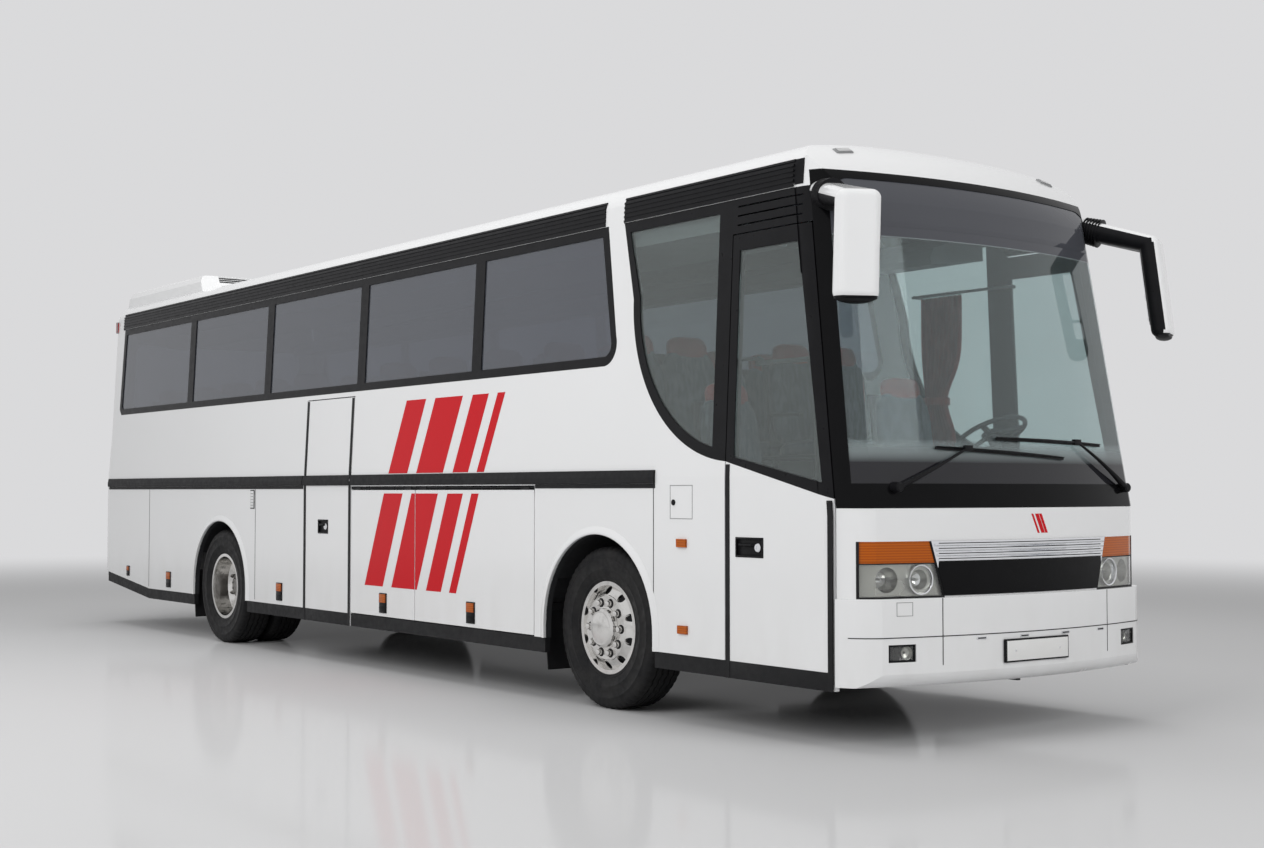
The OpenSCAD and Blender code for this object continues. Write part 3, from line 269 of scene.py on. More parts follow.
# colour, roughness, grain and its depth, faded colour, specular
mouldedSet = {
    "gloss_black_panel": ((0.004, 0.004, 0.0045), 0.11, 160.0, 0.02, (0.008, 0.008, 0.009), 0.10),
    "satin_black_frame": ((0.007, 0.007, 0.008), 0.34, 500.0, 0.10, (0.018, 0.018, 0.020), 0.14),
    "black_rubber": ((0.012, 0.012, 0.013), 0.52, 700.0, 0.16, (0.030, 0.030, 0.030), 0.18),
    "grained_dark_plastic": ((0.024, 0.025, 0.027), 0.55, 900.0, 0.35, (0.05, 0.05, 0.052), 0.3),
    "grey_dash_cover": ((0.105, 0.112, 0.112), 0.6, 900.0, 0.35, (0.15, 0.158, 0.158), 0.3),
    "grey_lining": ((0.26, 0.265, 0.27), 0.6, 800.0, 0.3, (0.34, 0.34, 0.34), 0.5),
    "underbody_steel": ((0.035, 0.035, 0.037), 0.55, 260.0, 0.35, (0.10, 0.085, 0.07), 0.5),
    "floor_covering": ((0.065, 0.067, 0.072), 0.7, 650.0, 0.4, (0.10, 0.10, 0.105), 0.5),
    "blank_plate_white": ((0.80, 0.80, 0.79), 0.35, 300.0, 0.1, (0.72, 0.72, 0.70), 0.5),
}
gloss, satin, rubber, darkPlastic, dashCover, greyPlastic, darkSteel, floorCover, blankPlate = (
    makeMoulded(name, *values) for name, values in mouldedSet.items())


def makeTyreRubber():
    mat, tree, shader = newMaterial("tyre_rubber")
    at = place(tree)
    dust = spread(tree, noise(tree, at, 9.0, 5.0), 0.0, 0.55)
    link(tree, mixColor(tree, dust, (0.009, 0.009, 0.010), (0.026, 0.025, 0.024)), shader, "Base Color")
    link(tree, spread(tree, noise(tree, at, 30.0, 4.0), 0.52, 0.74), shader, "Roughness")
    bump(tree, shader, noise(tree, at, 420.0, 3.0), 0.18, 0.001)
    setShader(shader, specular=0.25)
    return mat


tyreRubber = makeTyreRubber()


def makeMetal(name, color, rough, scratch, spots=0.0, grain=60.0, depth=0.025):
    # bright metal: fine brushed lines, a little grime in patches
    mat, tree, shader = newMaterial(name)
    at = place(tree)
    grime = spread(tree, noise(tree, at, 14.0, 5.0), 0.0, spots, 0.5, 0.8)
    link(tree, mixColor(tree, grime, color, (0.16, 0.14, 0.12)), shader, "Base Color")
    link(tree, spread(tree, noise(tree, at, grain, 3.0), rough * 0.6, rough * 1.5), shader, "Roughness")
    bump(tree, shader, noise(tree, at, 35.0, 2.0, (1, 1, scratch)), depth, 0.001)
    setShader(shader, metal=1.0)
    return mat


alloy = makeMetal("polished_alloy", (0.78, 0.77, 0.75), 0.16, 6.0, 0.30, 25.0, 0.012)
hubSteel = makeMetal("hub_steel", (0.30, 0.29, 0.28), 0.34, 6.0, 0.45, 25.0, 0.03)
chrome = makeMetal("bright_chrome", (0.84, 0.85, 0.87), 0.07, 1.0, 0.08)
reflector = makeMetal("lamp_reflector", (0.46, 0.46, 0.43), 0.34, 1.0, 0.0, 4.0, 0.0)
mirrorGlass = makeMetal("mirror_face", (0.90, 0.91, 0.92), 0.015, 1.0, 0.0)


def makeGlass(name, tint, dark, clear, rough=0.015, bands=(), ior=1.45):
    # tinted glass with faint road film; a band is (height where it starts, where it is full, its shade)
    mat, tree, shader = newMaterial(name)
    at = place(tree)
    film = spread(tree, noise(tree, at, 2.2, 4.0), 0.0, 0.25)
    color = mixColor(tree, film, tint, dark)
    setShader(shader, clear=clear, ior=ior)
    covered = None
    for start, full, shade in bands:
        share = spread(tree, axis(tree, at, "Z"), 0.0, 1.0, start, full)
        color = mixColor(tree, share, color, shade)
        covered = share if covered is None else math2(tree, "ADD", covered, share, True)
    if bands:
        link(tree, spread(tree, covered, clear, 0.15, 0.0, 1.0), shader, "Transmission Weight")
    link(tree, color, shader, "Base Color")
    link(tree, spread(tree, noise(tree, at, 3.0, 4.0), rough, rough + 0.02), shader, "Roughness")
    return mat


sideTint = makeGlass("grey_side_glass", (0.21, 0.23, 0.275), (0.17, 0.19, 0.23), 0.72, 0.015, (), 1.62)
cabTint = makeGlass("green_cab_glass", (0.62, 0.70, 0.69), (0.52, 0.60, 0.59), 0.93)
# sun band above; below, a dark foot band that is partly print and partly painted shade over the dash seen
# through it
screenBands = ((2.83, 2.84, (0.082, 0.086, 0.100)), (1.69, 1.56, (0.020, 0.020, 0.024)))
screenTint = makeGlass("windscreen_glass", (0.70, 0.82, 0.83), (0.60, 0.71, 0.72), 0.95, 0.012, screenBands)
lampGlass = makeGlass("lamp_cover_glass", (0.93, 0.94, 0.93), (0.82, 0.82, 0.78), 0.97)


def makeLens(name, color, deep, ribs=22.0, clear=0.35, coat=0.5, shade=0.55, specular=0.2, bands=()):
    # coloured lamp lens with moulded ribs behind a gloss face; each band is (height where it starts, colour)
    mat, tree, shader = newMaterial(name)
    at = place(tree)
    for height, above in bands:
        share = spread(tree, axis(tree, at, "Z"), 0.0, 1.0, height - 0.002, height + 0.002)
        color = mixColor(tree, share, color, above)
    ridges = wave(tree, at, ribs)
    link(tree, mixColor(tree, spread(tree, ridges, 0.0, shade, 0.0, 1.0), color, deep), shader, "Base Color")
    link(tree, spread(tree, noise(tree, at, 20.0), 0.10, 0.22), shader, "Roughness")
    bump(tree, shader, ridges, 0.12)
    setShader(shader, clear=clear, coat=coat, specular=specular)
    return mat


amberLens = makeLens("amber_lens", (0.52, 0.115, 0.003), (0.26, 0.040, 0.002), clear=0.05, coat=0.1)
redLens = makeLens("red_lens", (0.55, 0.012, 0.016), (0.20, 0.004, 0.006))
clearLens = makeLens("white_lens", (0.80, 0.80, 0.80), (0.50, 0.50, 0.50))
tailBands = ((1.012, (0.80, 0.24, 0.012)), (1.162, (0.50, 0.010, 0.014)))  # amber, then red, over white
tailLens = makeLens("tail_lamp_lens", (0.62, 0.62, 0.60), (0.10, 0.01, 0.01), 16.0, 0.2, 0.5, 0.35, 0.5,
                    tailBands)


def makeCloth(name, color, second, weave, fleck):
    # woven seat cloth: fine weave, flecks of a second yarn, soft sheen
    mat, tree, shader = newMaterial(name)
    at = place(tree)
    yarn = spread(tree, noise(tree, at, fleck, 2.0, (1.0, 1.0, 0.3)), 0.0, 0.8, 0.45, 0.6)
    link(tree, mixColor(tree, yarn, color, second), shader, "Base Color")
    cross = math2(tree, "MAXIMUM", *(wave(tree, at, weave, way, 1.0) for way in ("Z", "Y")))
    link(tree, spread(tree, cross, 0.75, 0.95, 0.0, 1.0), shader, "Roughness")
    bump(tree, shader, cross, 0.25, 0.001)
    setShader(shader, sheen=0.25, sheenRough=0.5)
    return mat


seatCloth = makeCloth("blue_grey_seat_cloth", (0.045, 0.050, 0.066), (0.10, 0.11, 0.14), 240.0, 40.0)
redCloth = makeCloth("red_headrest_cloth", (0.28, 0.018, 0.016), (0.36, 0.04, 0.03), 240.0, 60.0)
curtainCloth = makeCloth("red_curtain_cloth", (0.25, 0.020, 0.018), (0.33, 0.05, 0.04), 200.0, 30.0)
print("materials made:", len(bpy.data.materials))


# mesh helpers
def addBox(bm, lo, hi, mat=0, bevel=0.0, turn=None):
    made = bmesh.ops.create_cube(bm, size=1.0)["verts"]
    lo, hi = Vector(lo), Vector(hi)
    size = hi - lo
    for v in made:
        v.co = Vector((v.co.x * size.x, v.co.y * size.y, v.co.z * size.z))
        if turn is not None:
            v.co = turn @ v.co
        v.co += (lo + hi) / 2
    faces = {f for v in made for f in v.link_faces}
    for f in faces:
        f.material_index = mat
    if bevel > 0:
        edges = {e for v in made for e in v.link_edges}
        bmesh.ops.bevel(bm, geom=list(edges), offset=bevel, segments=2, affect="EDGES", profile=0.6)


def addBlock(bm, center, half, mat=0, bevel=0.0, turn=None):
    center, half = Vector(center), Vector(half)
    addBox(bm, center - half, center + half, mat, bevel, turn)


def addSideBox(bm, side, xs, outs, zs, mat=0, bevel=0.0, wall=halfW):
    # box on a side wall, between two distances out from its face
    y0, y1 = sorted(side * (wall + out) for out in outs)
    addBox(bm, (xs[0], y0, zs[0]), (xs[1], y1, zs[1]), mat, bevel)


def skinRings(bm, rings, mat=0, closed=False):
    # faces from ring to ring; the ends are capped unless the last ring meets the first
    count = len(rings[0])
    for a, b in zip(rings, rings[1:] + (rings[:1] if closed else [])):
        for j in range(count):
            m = (j + 1) % count
            bm.faces.new((a[j], a[m], b[m], b[j])).material_index = mat
    if not closed:
        bm.faces.new(rings[0][::-1]).material_index = mat
        bm.faces.new(rings[-1]).material_index = mat


def rimBars(a0, a1, b0, b1, wide):
    # the four bars of a rectangular rim
    return ((a0, a1, b0, b0 + wide), (a0, a1, b1 - wide, b1), (a0, a0 + wide, b0, b1),
            (a1 - wide, a1, b0, b1))


def addLathe(bm, profile, center, direction, steps=32, mat=0, closed=False):
    # profile is (radius, along) pairs, turned about a line through center
    turn = Vector(direction).normalized().to_track_quat("Z", "Y").to_matrix()
    rings = []
    for r, h in profile:
        if r < 1e-6:
            rings.append([bm.verts.new(Vector(center) + turn @ Vector((0, 0, h)))])
            continue
        rings.append([bm.verts.new(Vector(center) + turn @ Vector((r * math.cos(a), r * math.sin(a), h)))
                      for a in (2 * math.pi * k / steps for k in range(steps))])
    pairs = list(zip(rings, rings[1:])) + ([(rings[-1], rings[0])] if closed else [])
    for a, b in pairs:
        for k in range(steps):
            n = (k + 1) % steps
            corners = [a[k % len(a)], a[n % len(a)], b[n % len(b)], b[k % len(b)]]
            corners = list(dict.fromkeys(corners))
            if len(corners) > 2:
                bm.faces.new(corners).material_index = mat


def addStud(bm, at, direction, low, r, high, tipR, top, steps, mat=0):
    # round head with a bevelled upper edge
    addLathe(bm, [(0, low), (r, low), (r, high), (tipR, top), (0, top)], at, direction, steps, mat)


def addCollar(bm, at, direction, inner, outer, low, high, steps):
    addLathe(bm, [(inner, low), (outer, low), (outer, high), (inner, high)], at, direction, steps, 0, True)


def addTube(bm, points, radius, sides=10, mat=0, flat=1.0):
    # round or oval bar through points, with closed ends; radius may be one number or one for each point
    points = [Vector(p) for p in points]
    radii = radius if isinstance(radius, (list, tuple)) else [radius] * len(points)
    rings = []
    for i, p in enumerate(points):
        along = (points[min(i + 1, len(points) - 1)] - points[max(i - 1, 0)]).normalized()
        up = Vector((0, 0, 1)) if abs(along.z) < 0.9 else Vector((0, 1, 0))
        side = along.cross(up).normalized()
        up = side.cross(along)
        wide, high = radii[i], radii[i] * flat
        turns = [2 * math.pi * k / sides for k in range(sides)]
        rings.append([bm.verts.new(p + side * (wide * math.cos(a)) + up * (high * math.sin(a))) for a in turns])
    skinRings(bm, rings, mat)


def addSheet(bm, grid, thick, normal, mat=0):
    # closed slab over a grid of points: the face follows the grid, the back lies thick behind it
    normal = Vector(normal)
    top = [[bm.verts.new(Vector(p)) for p in row] for row in grid]
    low = [[bm.verts.new(Vector(p) - normal * thick) for p in row] for row in grid]
    rows, cols = len(grid), len(grid[0])
    for i in range(rows - 1):
        for j in range(cols - 1):
            bm.faces.new((top[i][j], top[i][j + 1], top[i + 1][j + 1], top[i + 1][j])).material_index = mat
            bm.faces.new((low[i][j], low[i + 1][j], low[i + 1][j + 1], low[i][j + 1])).material_index = mat
    ring = [(0, j) for j in range(cols)] + [(i, cols - 1) for i in range(1, rows)]
    ring += [(rows - 1, j) for j in range(cols - 2, -1, -1)] + [(i, 0) for i in range(rows - 2, 0, -1)]
    for (i, j), (k, m) in zip(ring, ring[1:] + ring[:1]):
        bm.faces.new((top[k][m], top[i][j], low[i][j], low[k][m])).material_index = mat


def addFrontLine(bm, y0, y1, z0, z1, out, mat=0, steps=24, bumper=True):
    grid = []
    for k in range(steps + 1):
        y = lerp(y0, y1, k / steps)
        grid.append([(frontX(y, z, out, bumper), y, z) for z in (z0, z1)])
    addSheet(bm, grid, out + 0.003, (1, 0, 0), mat)


def addPlate(bm, x, out, plate, back):
    # blank plate in its holder; out is 1 towards the front, -1 towards the rear
    wide, high, z = plate
    for x0, x1, rim, mat, bevel in ((back, 0.010, 0.008, 0, 0.004), (0.006, 0.0125, 0.0, 1, 0.002)):
        mid = (x + out * (x0 + x1) / 2, 0.0, z)
        addBlock(bm, mid, ((x1 - x0) / 2, wide / 2 + rim, high / 2 + rim), mat, bevel)


def finishPiece(bm, name, mats, rides, sharp=35.0):
    bmesh.ops.recalc_face_normals(bm, faces=bm.faces[:])
    mesh = bpy.data.meshes.new(name)
    bm.to_mesh(mesh)
    bm.free()
    for m in mats:
        mesh.materials.append(m)
    mesh.shade_smooth()
    mesh.set_sharp_from_angle(angle=math.radians(sharp))
    piece = bpy.data.objects.new(name, mesh)
    scene.collection.objects.link(piece)
    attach(piece, rides)
    return piece


# finish of the CAD nodes; those not named here are split or replaced further down
nodeFinish = {
    whitePaint: ["right_wall", "left_wall", "roof", "mask", "front_bumper", "rear_wall", "rear_bumper",
                 "roof_unit", "front_door", "mid_door", "right_flap_rear", "right_flap_front",
                 "left_flap_rear", "left_flap_front", "engine_flap"],
    gloss: ["screen_frame"],
    satin: ["window_frames", "front_door_frame", "cove_grilles", "wipers"],
    rubber: ["side_trim"],
    sideTint: ["side_glass", "rear_glass"],
    cabTint: ["front_door_glass"],
    screenTint: ["windscreen"],
    lampGlass: ["headlamps"],
    amberLens: ["amber_lamps"],
    tailLens: ["tail_lamps"],
    reflector: ["lamp_housings"],
    floorCover: ["passenger_deck", "luggage_bay", "cab_floor"],
    darkPlastic: ["steering_wheel"],
    dashCover: ["dashboard"],
    greyPlastic: ["parcel_racks"],
    darkSteel: ["axle_rails", "engine", "front_axle", "rear_axle", "right_knuckle", "left_knuckle",
                "front_door_arm", "mid_door_arm"],
    alloy: ["front_right_rim", "front_left_rim", "rear_right_rims", "rear_left_rims"],
}


def setFinish(name, *mats):
    mesh = nodes[name].data
    mesh.materials.clear()
    for m in mats:
        mesh.materials.append(m)


for finish, names in nodeFinish.items():
    for name in names:
        setFinish(name, finish)


def splitFinish(name, mats, choose):
    # one node in two finishes: choose is true for the second, from the middle and the normal of a face
    setFinish(name, *mats)
    for face in nodes[name].data.polygons:
        face.material_index = int(choose(face.center, face.normal))


# heights, places and normals where one finish ends and the next begins
splitSet = {"quarterX": 0.2, "slatZ": 1.012, "slatFace": 0.3, "flapShadeZ": 1.384, "sillZ": 0.4, "under": -0.9,
            "railOut": 0.001, "mirrorBack": -0.42, "mirrorUnder": -0.45, "mirrorIn": -0.6}


def onQuarterLight(c, n):
    return c.x > xFa + splitSet["quarterX"]


def onPanel(c, n):
    return c.z <= splitSet["slatZ"] or n.x <= splitSet["slatFace"]


def onMirrorBack(c, n):
    # black below and where they face the coach
    inward = n.y * math.copysign(1, c.y) < splitSet["mirrorIn"]
    return inward or n.x < splitSet["mirrorBack"] or n.z < splitSet["mirrorUnder"]


def onShadedFlapTop(c, n):
    # painted shade: the flap's top, in the shade of the waist rail, is given black rubber
    return c.z > splitSet["flapShadeZ"]


def onSill(c, n):
    return n.z < splitSet["under"] and c.z < splitSet["sillZ"]


def onSillOrRail(c, n):
    # the middle door carries its own piece of the waist rail
    return onSill(c, n) or c.y < -halfW - splitSet["railOut"]


splitFinish("side_glass", (sideTint, cabTint), onQuarterLight)
splitFinish("grille", (chrome, gloss), onPanel)
splitFinish("mirrors", (whitePaint, satin), onMirrorBack)
# the flaps' tops get black rubber as painted shade under the waist rail
for flap in ("right_flap_rear", "right_flap_front", "left_flap_rear", "left_flap_front"):
    splitFinish(flap, (whitePaint, rubber), onShadedFlapTop)
splitFinish("mid_door", (whitePaint, rubber), onSillOrRail)
splitFinish("front_door", (whitePaint, rubber), onSill)
print("CAD nodes finished")


# tyres: ribs with zigzag grooves, cut shoulders and ringed sidewalls
tyreSet = {
    "radius": 0.522, "halfWidth": 0.1475, "bead": 0.2925, "steps": 180,
    "grooves": (-0.070, -0.023, 0.023, 0.070), "grooveHalf": 0.0055, "grooveDepth": 0.013, "zigzag": 0.004,
    "zigzagCount": 45, "cutCount": 60, "cutDepth": 0.009, "mids": (1.0425, 1.0775, 0.7475),
}


def tyreProfile(s):
    # (radius, across, is groove edge, is shoulder) from one bead round the tread to the other
    h, r, b = s["halfWidth"], s["radius"], s["bead"]
    wall = [(b, 0.045), (b + 0.004, 0.034), (b + 0.012, 0.026), (b + 0.024, 0.0205), (b + 0.026, 0.0175),
            (b + 0.034, 0.0170), (b + 0.036, 0.0150), (b + 0.080, 0.0035), (b + 0.083, 0.0010),
            (b + 0.089, 0.0010), (b + 0.092, 0.0025), (b + 0.120, 0.0), (b + 0.150, 0.0005),
            (b + 0.153, -0.0015), (b + 0.160, -0.0015), (b + 0.163, 0.0015), (r - 0.045, 0.005),
            (r - 0.028, 0.009)]
    left = [(rr, -h + inset, 0, 0) for rr, inset in wall]
    left += [(r - 0.012, -h + 0.018, 0, 1), (r - 0.003, -h + 0.030, 0, 1), (r, -h + 0.042, 0, 1)]
    tread = []
    for g in s["grooves"]:
        gh = s["grooveHalf"]
        tread += [(r, g - gh, 1, 0), (r - s["grooveDepth"], g - gh * 0.55, 1, 0),
                  (r - s["grooveDepth"], g + gh * 0.55, 1, 0), (r, g + gh, 1, 0)]
    right = [(rr, -a, e, k) for rr, a, e, k in reversed(left)]
    return left + tread + right


def addTyre(bm, x, y, s):
    profile = tyreProfile(s)
    steps = s["steps"]
    rings = []
    for k in range(steps):
        a = 2 * math.pi * k / steps
        phase = (k * s["zigzagCount"] / steps) % 1.0
        swing = s["zigzag"] * (4 * abs(phase - 0.5) - 1)
        cut = k % (steps // s["cutCount"]) == 0
        ring = []
        for r, across, edge, shoulder in profile:
            rr = r - (s["cutDepth"] if shoulder and cut else 0.0)
            ring.append(bm.verts.new((x + rr * math.cos(a), y + across + (swing if edge else 0),
                                      axleZ + rr * math.sin(a))))
        rings.append(ring)
    skinRings(bm, rings, 0, True)


def makeTyres():
    frontMid, outerMid, innerMid = tyreSet["mids"]
    plan = [("front_right_tyre", "front_right_wheel", xFa, (-frontMid,)),
            ("front_left_tyre", "front_left_wheel", xFa, (frontMid,)),
            ("rear_right_tyres", "rear_right_wheels", xRa, (-outerMid, -innerMid)),
            ("rear_left_tyres", "rear_left_wheels", xRa, (outerMid, innerMid))]
    for node, wheel, x, places in plan:
        bm = bmesh.new()
        for y in places:
            addTyre(bm, x, y, tyreSet)
        piece = finishPiece(bm, "treaded_" + node, [tyreRubber], wheel, 40)
        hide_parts(node)


makeTyres()
print("tyres made")


# wheels: nut caps, hub covers, bright faces with hand holes
wheelSet = {
    "nutRing": 0.167, "nutR": 0.0198, "nuts": 10, "frontFace": 0.138, "frontHub": 0.125, "frontNose": 0.045,
    "ring": (0.206, 0.2688), "holeRing": 0.240, "holeR": 0.0265, "holeSteps": 32, "ringFace": 0.003,
    "ringFall": 0.047, "ringThick": 0.005, "rearFace": 0.165, "bolts": 10, "boltRing": 0.085,
    "boltFace": 0.171, "shield": ((0.208, -0.016), (0.2645, -0.060), (0.2625, -0.064), (0.206, -0.020)),
    "rearHub": ((0, 0.176), (0.05, 0.176), (0.07, 0.171), (0.098, 0.171), (0.113, 0.158), (0.1135, 0.02),
                (0.128, 0.016), (0.130, -0.002), (0, -0.002)),
    "cap": ((0, 0.010), (0.30, 0.009), (0.60, 0.005), (0.86, -0.002), (0.97, -0.010)),
    "nut": ((0, 0.002), (1.0, 0.002), (1.0, 0.026), (0.85, 0.031), (0.45, 0.033), (0, 0.033)),
}


def wheelRing(x, y, r, count, shift=0.0):
    # places on a circle round an axle
    turns = [2 * math.pi * (k + shift) / count for k in range(count)]
    return [(x + r * math.cos(a), y, axleZ + r * math.sin(a)) for a in turns]


def addNuts(bm, x, y, out, s):
    r = s["nutR"]
    for at in wheelRing(x, y, s["nutRing"], s["nuts"]):
        addStud(bm, at, (0, out, 0), -0.002, r * 1.5, 0.002, r * 1.2, 0.003, 20, 1)
        addLathe(bm, [(share * r, along) for share, along in s["nut"]], at, (0, out, 0), 20)


def addHoledRing(bm, center, side, s):
    # bright wheel face between hub and rim, with a round hand hole in each sector
    (inner, outer), mid, half = s["ring"], s["holeRing"], math.pi / s["nuts"]
    corners = [math.atan2(sign * half * mid, r - mid) for r in (inner, outer) for sign in (-1, 1)]
    count = s["holeSteps"]
    turns = sorted([2 * math.pi * k / count - math.pi for k in range(count)] + corners)

    def at(r, a):
        along = s["ringFace"] - s["ringFall"] * (r - inner) / (outer - inner)
        return Vector(center) + Vector((r * math.cos(a), side * along, r * math.sin(a)))

    faces = []
    for k in range(s["nuts"]):
        turn = 2 * math.pi * (k + 0.5) / s["nuts"]
        hole, edge = [], []
        for t in turns:
            c, d = math.cos(t), math.sin(t)
            room = [(outer - mid) / c if c > 1e-9 else 9.0, (inner - mid) / c if c < -1e-9 else 9.0,
                    half * mid / abs(d) if abs(d) > 1e-9 else 9.0]
            for reach, row in ((s["holeR"], hole), (min(room), edge)):
                row.append(bm.verts.new(at(mid + reach * c, turn + reach * d / mid)))
        for i in range(len(turns)):
            j = (i + 1) % len(turns)
            faces.append(bm.faces.new((hole[i], hole[j], edge[j], edge[i])))
    bmesh.ops.remove_doubles(bm, verts=list({v for f in faces for v in f.verts}), dist=1e-5)
    faces = [f for f in faces if f.is_valid]
    bmesh.ops.recalc_face_normals(bm, faces=faces)
    bmesh.ops.solidify(bm, geom=faces, thickness=s["ringThick"])


def makeWheelTrim():
    s = wheelSet
    for wheel, side in (("front_right_wheel", -1), ("front_left_wheel", 1)):
        bm = bmesh.new()
        face = side * (tyreSet["mids"][0] + s["frontFace"])
        addHoledRing(bm, (xFa, face, axleZ), side, s)
        addNuts(bm, xFa, face, side, s)
        hub, nose = s["frontHub"], s["frontNose"]
        cap = [(hub * share, nose + rise) for share, rise in s["cap"]]
        cap += [(hub + 0.001, nose - 0.022), (hub + 0.002, 0.004), (hub + 0.010, 0.003),
                (hub + 0.012, -0.003), (0, -0.003)]
        addLathe(bm, cap, (xFa, face, axleZ), (0, side, 0), 64)
        # dark dust shield behind the hand holes
        addLathe(bm, s["shield"], (xFa, face, axleZ), (0, side, 0), 64, 1, True)
        finishPiece(bm, wheel + "_trim", [alloy, satin], wheel)
    for wheel, side in (("rear_right_wheels", -1), ("rear_left_wheels", 1)):
        bm = bmesh.new()
        face = side * (tyreSet["mids"][1] - s["rearFace"])
        addNuts(bm, xRa, face, side, s)
        addLathe(bm, s["rearHub"], (xRa, face, axleZ), (0, side, 0), 64, 2)
        for at in wheelRing(xRa, face + side * s["boltFace"], s["boltRing"], s["bolts"], 0.5):
            addStud(bm, at, (0, side, 0), 0, 0.010, 0.006, 0.007, 0.008, 6, 2)
        finishPiece(bm, wheel + "_trim", [alloy, satin, hubSteel], wheel)


makeWheelTrim()
print("wheel trim made")


# flared lips round the wheel arches, and the liners behind them
archSet = {"radius": 0.610, "centerZ": 0.52, "lip": 0.052, "proud": 0.016, "turnIn": 0.010, "linerR": 0.635,
           "linerDepth": 0.55, "tuck": 0.004, "steps": 36, "linerSteps": 24, "linerFrom": 28,
           "linerTurn": 124}


def archPath(s, footZ):
    # (along, up, outward along, outward up) over the arch from its front foot to its rear foot
    r, cz = s["radius"], s["centerZ"]
    path = [(r, footZ, 1.0, 0.0), (r, cz - 0.03, 1.0, 0.0)]
    for k in range(s["steps"] + 1):
        a = math.pi * k / s["steps"]
        path.append((r * math.cos(a), cz + r * math.sin(a), math.cos(a), math.sin(a)))
    path += [(-r, cz - 0.03, -1.0, 0.0), (-r, footZ, -1.0, 0.0)]
    return path


def sweepArch(bm, x, side, s, profile):
    # profile is (away from the arch's edge, out from the side) pairs, carried round the arch
    rings = []
    for along, up, nx, nz in archPath(s, body["skirtZ"]):
        rings.append([bm.verts.new((x + along + nx * (d - s["tuck"]), side * (halfW + out),
                                    up + nz * (d - s["tuck"])))
                      for d, out in profile])
    skinRings(bm, rings)


def makeArches(s):
    for side, sideName in ((-1, "right"), (1, "left")):
        bm = bmesh.new()
        profile = [(0.0, -s["turnIn"]), (0.0, s["proud"] - 0.003), (0.004, s["proud"]), (0.016, s["proud"]),
                   (s["lip"] * 0.6, s["proud"] * 0.55), (s["lip"], 0.0012), (s["lip"], -0.002),
                   (0.010, -s["turnIn"])]
        for x in (xFa, xRa):
            sweepArch(bm, x, side, s, profile)
        finishPiece(bm, sideName + "_arch_lips", [whitePaint], "coach", 50)
        bm = bmesh.new()
        for x in (xFa, xRa):
            grid = []
            for k in range(s["linerSteps"] + 1):
                a = math.radians(s["linerFrom"] + s["linerTurn"] * k / s["linerSteps"])
                grid.append([(x + s["linerR"] * math.cos(a), side * y,
                              s["centerZ"] + s["linerR"] * math.sin(a))
                             for y in (halfW - 0.046, halfW - 0.2, halfW - s["linerDepth"])])
            addSheet(bm, grid, 0.006, (0, 0, -1))
            sweepArch(bm, x, side, s, [(0.0, -0.006), (0.0, -0.050), (0.006, -0.050), (0.006, -0.006)])
        finishPiece(bm, sideName + "_arch_liners", [darkPlastic], "coach", 40)


makeArches(archSet)


# mud flaps behind the wheels
mudSet = {"front": (1.20, 0.34), "rear": (1.22, 0.60), "top": 0.62, "foot": 0.20, "thick": 0.008,
          "back": 0.645, "bow": 0.02, "rows": 8, "cols": 6}


def makeMudFlaps(s):
    bm = bmesh.new()
    for axle, (outer, wide) in ((xFa, s["front"]), (xRa, s["rear"])):
        x = axle - s["back"]
        for side in (-1, 1):
            grid = []
            for k in range(s["rows"] + 1):
                t = k / s["rows"]
                grid.append([(x - s["bow"] * math.sin(math.pi * t), side * (outer - wide * j / s["cols"]),
                              lerp(s["top"], s["foot"], t)) for j in range(s["cols"] + 1)])
            addSheet(bm, grid, s["thick"], (-1, 0, 0))
            # the rail that carries it
            addSideBox(bm, side, (x - 0.03, x + 0.02), (-wide, 0.0), (s["top"] - 0.02, s["top"] + 0.03), 0,
                       0.004, outer)
    finishPiece(bm, "mud_flaps", [rubber], "coach")


makeMudFlaps(mudSet)
print("arches and mud flaps made")


# painted shade: dark lines standing for the shade in the panel seams, and a thin dark line of painted shade
# under the waist rail
seamShadeSet = {"wide": 0.006, "deep": 0.002, "proud": 0.0012, "x": (-7.88, -5.30, 0.60), "z": (0.44, 1.45),
           "lineZ": (1.422, 1.449), "lineProud": 0.004, "lineGap": 0.012, "lineFront": 0.62,
           "lineRear": 0.19, "leftEnd": 2.05}


def makeSeamShade(s):
    bm = bmesh.new()
    low, high = s["z"]
    for side in (-1, 1):
        for x in s["x"]:
            # dark seam lines: painted shade in the joints between the panels
            addSideBox(bm, side, (xFa + x, xFa + x + s["wide"]), (-s["deep"], s["proud"]), (low, high),
                       wall=sideY(low))
        rearEnd = midRearX if side < 0 else xRa + s["leftEnd"]
        for span in ((xRear + s["lineRear"], rearEnd - s["lineGap"]),
                     (flapFront + s["lineGap"], xFa + s["lineFront"])):
            # dark line under the waist rail: painted shade of the rail
            addSideBox(bm, side, span, (-s["deep"], s["lineProud"]), s["lineZ"], wall=sideY(s["lineZ"][0]))
    finishPiece(bm, "panel_seam_shade", [rubber], "coach")


makeSeamShade(seamShadeSet)


# black rubber along the doors' edges, and the black sills that go on across them
sealSet = {"wide": 0.036, "proud": 0.004, "deep": 0.006, "edge": 0.002, "foot": 0.3195, "sillTop": 0.42,
           "lean": 0.16, "rows": 12, "mid_door": ((midRearX, 2.160), (midFrontX, 2.160)),
           "front_door": ((doorRearX, 1.560), (doorFrontX, 1.352))}


